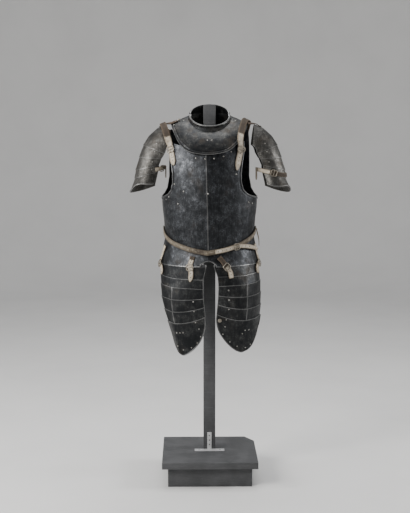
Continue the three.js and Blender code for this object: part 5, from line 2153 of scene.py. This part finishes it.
    def arm_straps(self) -> None:
        """The straps round the arms, with their hanging ends."""
        rows = {
            Side.LEFT: (-0.9, -1.92, 5.55, 0.1, 0.2, -1.34),
            Side.RIGHT: (0.35, -1.5, 5.5, 0.45, 0.55, -1.25),
        }
        for side, (start, stop, level, slope, at, tail_at) in rows.items():
            arm = self.arms[side]
            stops = [(mix(start, stop, t), level + slope * t) for t in np.linspace(0, 1, 13)]
            path = Path([arm.rest(u, v, CLEARANCE) for u, v in stops])
            name = f"arm_strap_{side.label}"
            slot, tanned = (Slot.BROWN, 0.62) if side is Side.RIGHT else (Slot.PALE, 0.0)
            strap = StrapPiece(f"{name}_leather", path, self.arm_width, tip_share=1.0, tan_until=tanned)
            self.strap(strap, self.finishes.pale, slot, name)
            self.buckle(f"arm_buckle_{side.label}", path, at, self.arm_width)
            share = (tail_at - start) / (stop - start)
            top, way = arm.rest(tail_at, level + slope * share, LEATHER_WALL + 2.8 * CLEARANCE)
            high, fall, lean = self.arm_tail_above, self.arm_tail_fall, self.arm_tail_lean
            hang = Path([(top + [0, -lean * t, high - fall * t], way) for t in np.linspace(0, 1, 4)])
            end = StrapPiece(f"{name}_end_leather", hang, self.tail_width, 0.25, rings=40)
            self.strap(end, self.finishes.pale, Slot.PALE, f"arm_strap_end_{side.label}")

    def make(self) -> None:
        """Builds the sub-assembly."""
        self.shoulders()
        self.hangers()
        self.belt()
        self.belt_end()
        self.tasset_straps()
        self.arm_straps()


@dataclass
class Stand:
    """The wooden stand: boards with eased edges, the post, the bracket and the hidden yoke."""

    finishes: Finishes
    easing: float = 0.0022
    iron_easing: float = 0.0006
    bracket_wall: float = 0.003
    foot_depth: float = 0.026

    def eased(
        self, node: str, material: bpy.types.Material, edges: bpy.types.Material, slot: Slot, easing: float
    ) -> None:
        """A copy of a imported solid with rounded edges, which stands for it.

        Args:
            node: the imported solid.
            material: its finish.
            edges: the finish of its rounded edges.
            slot: the record's slot for it.
            easing: how far the edges are rounded.
        """
        shape = bmesh.new()
        shape.from_mesh(frame["nodes"][node].data)
        bmesh.ops.remove_doubles(shape, verts=shape.verts, dist=1e-5)
        bmesh.ops.dissolve_limit(shape, angle_limit=math.radians(1), verts=shape.verts, edges=shape.edges)
        bmesh.ops.recalc_face_normals(shape, faces=shape.faces)
        sharp = [edge for edge in shape.edges if edge.calc_face_angle(0) > math.radians(20)]
        settings = {"segments": 3, "profile": 0.6, "affect": "EDGES", "clamp_overlap": True}
        for face in bmesh.ops.bevel(shape, geom=sharp, offset=easing, **settings)["faces"]:
            face.material_index = 1
        bmesh.ops.triangulate(shape, faces=shape.faces)
        mesh = bpy.data.meshes.new(f"{node}_painted")
        shape.to_mesh(mesh)
        shape.free()
        mesh.shade_smooth()
        mesh.set_sharp_from_angle(angle=math.radians(35))
        thing = bpy.data.objects.new(mesh.name, mesh)
        bpy.context.scene.collection.objects.link(thing)
        mesh.materials.clear()
        mesh.materials.append(material)
        mesh.materials.append(edges)
        hand_over(thing, slot, node)

    def make(self) -> None:
        """Builds the sub-assembly."""
        for node in ("stand_block", "stand_top", "stand_post", "stand_yoke"):
            self.eased(node, self.finishes.wood, self.finishes.rubbed_wood, Slot.WOOD, self.easing)
        iron = self.finishes.bracket
        self.eased("stand_bracket", iron, iron, Slot.BRACKET, self.iron_easing)
        screws = Studs("bracket_screws", Slot.BRACKET, self.finishes.screw, radius=0.0032, height=0.0012)
        low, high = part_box("stand_bracket")
        for up in (0.3, 0.55, 0.82):
            face = np.array([0, low[1] + self.foot_depth - self.bracket_wall, mix(low[2], high[2], up)])
            screws.put((face, np.array([0.0, -1.0, 0.0])))
        for across in (-0.7, 0.7):
            face = np.array([across * high[0], low[1] + self.foot_depth / 2, low[2] + self.bracket_wall])
            screws.put((face, np.array([0.0, 0.0, 1.0])))
        screws.make()


@dataclass
class Studio:
    """The floor, the lights and the camera."""

    finishes: Finishes
    eye: tuple[float, float, float] = (-0.081, -4.083, 1.415)
    pitch: float = 7.24
    yaw: float = 0.886
    focal_pixels: float = 1035.0
    long_side_pixels: float = 513.0
    sensor: float = 36.0
    floor_reach: float = 4.6
    floor_bend: float = 2.0
    wall_height: float = 5.0
    sky: Color = (0.8, 0.82, 0.86)
    sky_strength: float = 0.44

    def camera(self) -> None:
        """The camera, at the photograph's viewing angle."""
        data = bpy.data.cameras.new("camera")
        data.sensor_width = self.sensor
        data.lens = self.focal_pixels * self.sensor / self.long_side_pixels
        data.clip_end = 60
        camera = bpy.data.objects.new("camera", data)
        camera.location = self.eye
        camera.rotation_euler = (math.radians(90 - self.pitch), 0, math.radians(-self.yaw))
        bpy.context.scene.collection.objects.link(camera)
        bpy.context.scene.camera = camera

    def floor(self) -> None:
        """A pale round floor that curves up into a low wall on every side."""
        rise = np.linspace(0, math.pi / 2, 14)
        reach = np.concatenate([[0.5, 1.5, 3.0], self.floor_reach + self.floor_bend * np.sin(rise)])
        height = np.concatenate([[0, 0, 0], self.floor_bend * (1 - np.cos(rise))])
        reach, height = np.append(reach, reach[-1]), np.append(height, self.wall_height)
        turn = np.linspace(0, 2 * math.pi, 65)[:-1]
        rings = points(reach[:, None] * np.cos(turn), reach[:, None] * np.sin(turn), height[:, None])
        faces = tube_faces(*rings.shape[:2])[:, ::-1].tolist()
        middle = list(range(len(turn)))
        mesh = bpy.data.meshes.new("floor")
        mesh.from_pydata(rings.reshape(-1, 3).tolist(), [], [*faces, middle])
        mesh.shade_smooth()
        mesh.materials.append(self.finishes.floor)
        thing = bpy.data.objects.new("floor", mesh)
        bpy.context.scene.collection.objects.link(thing)

    def light(
        self, name: str, place: tuple, aim: tuple, size: float, power: float, color: Color = (1, 1, 1)
    ) -> None:
        """A soft square light aimed at a point.

        Args:
            name: the light's name.
            place: where it stands.
            aim: the point that it faces.
            size: the length of its side.
            power: its power in watts.
            color: its colour.
        """
        data = bpy.data.lights.new(name, "AREA")
        data.size, data.energy, data.color = size, power, color
        lamp = bpy.data.objects.new(name, data)
        lamp.location = place
        lamp.rotation_euler = (Vector(aim) - Vector(place)).to_track_quat("-Z", "Y").to_euler()
        bpy.context.scene.collection.objects.link(lamp)

    def make(self) -> None:
        """Builds the studio."""
        self.camera()
        self.floor()
        chest = (0, 0, 1.15)
        self.light("key", (-2.5, -2.2, 2.7), chest, size=1.4, power=150, color=(1, 0.985, 0.96))
        self.light("left side", (-2.9, -0.5, 1.9), chest, size=0.9, power=45)
        self.light("right side", (2.9, -0.1, 1.9), chest, size=0.8, power=58)
        self.light("top", (0, 0.5, 4.2), (0, 0, 0.5), size=2.2, power=95)
        world = bpy.data.worlds.new("studio")
        world.use_nodes = True
        background = world.node_tree.nodes["Background"]
        background.inputs["Color"].default_value = (*self.sky, 1)
        background.inputs["Strength"].default_value = self.sky_strength
        bpy.context.scene.world = world


def main() -> None:
    """Builds the armour, the stand and the studio in order."""
    logging.basicConfig(level=logging.INFO, format="%(name)s: %(message)s")
    finishes = Finishes()
    torso, neck = Torso(), NeckSkin()
    legs = {side: TassetSkin(side, torso) for side in Side}
    arms = {side: ArmSkin(side) for side in Side}
    rivets = Studs("rivets", Slot.IRON, finishes.stud, radius=0.0031, height=0.0016)
    # near-black discs where the straps' holes are: painted shade of the openings
    holes = Studs("strap_holes", Slot.BROWN, finishes.hole, radius=0.0019, height=0.00035)
    Studio(finishes).make()
    Stand(finishes).make()
    Cuirass(torso, finishes, rivets).make()
    Gorget(neck, finishes, rivets).make()
    for side in Side:
        Tasset(legs[side], finishes, rivets).make()
        Spaudler(arms[side], finishes, rivets).make()
    Harness(torso, neck, legs, arms, finishes, holes, rivets).make()
    rivets.make()
    holes.make()


if __name__ == "__main__":
    main()
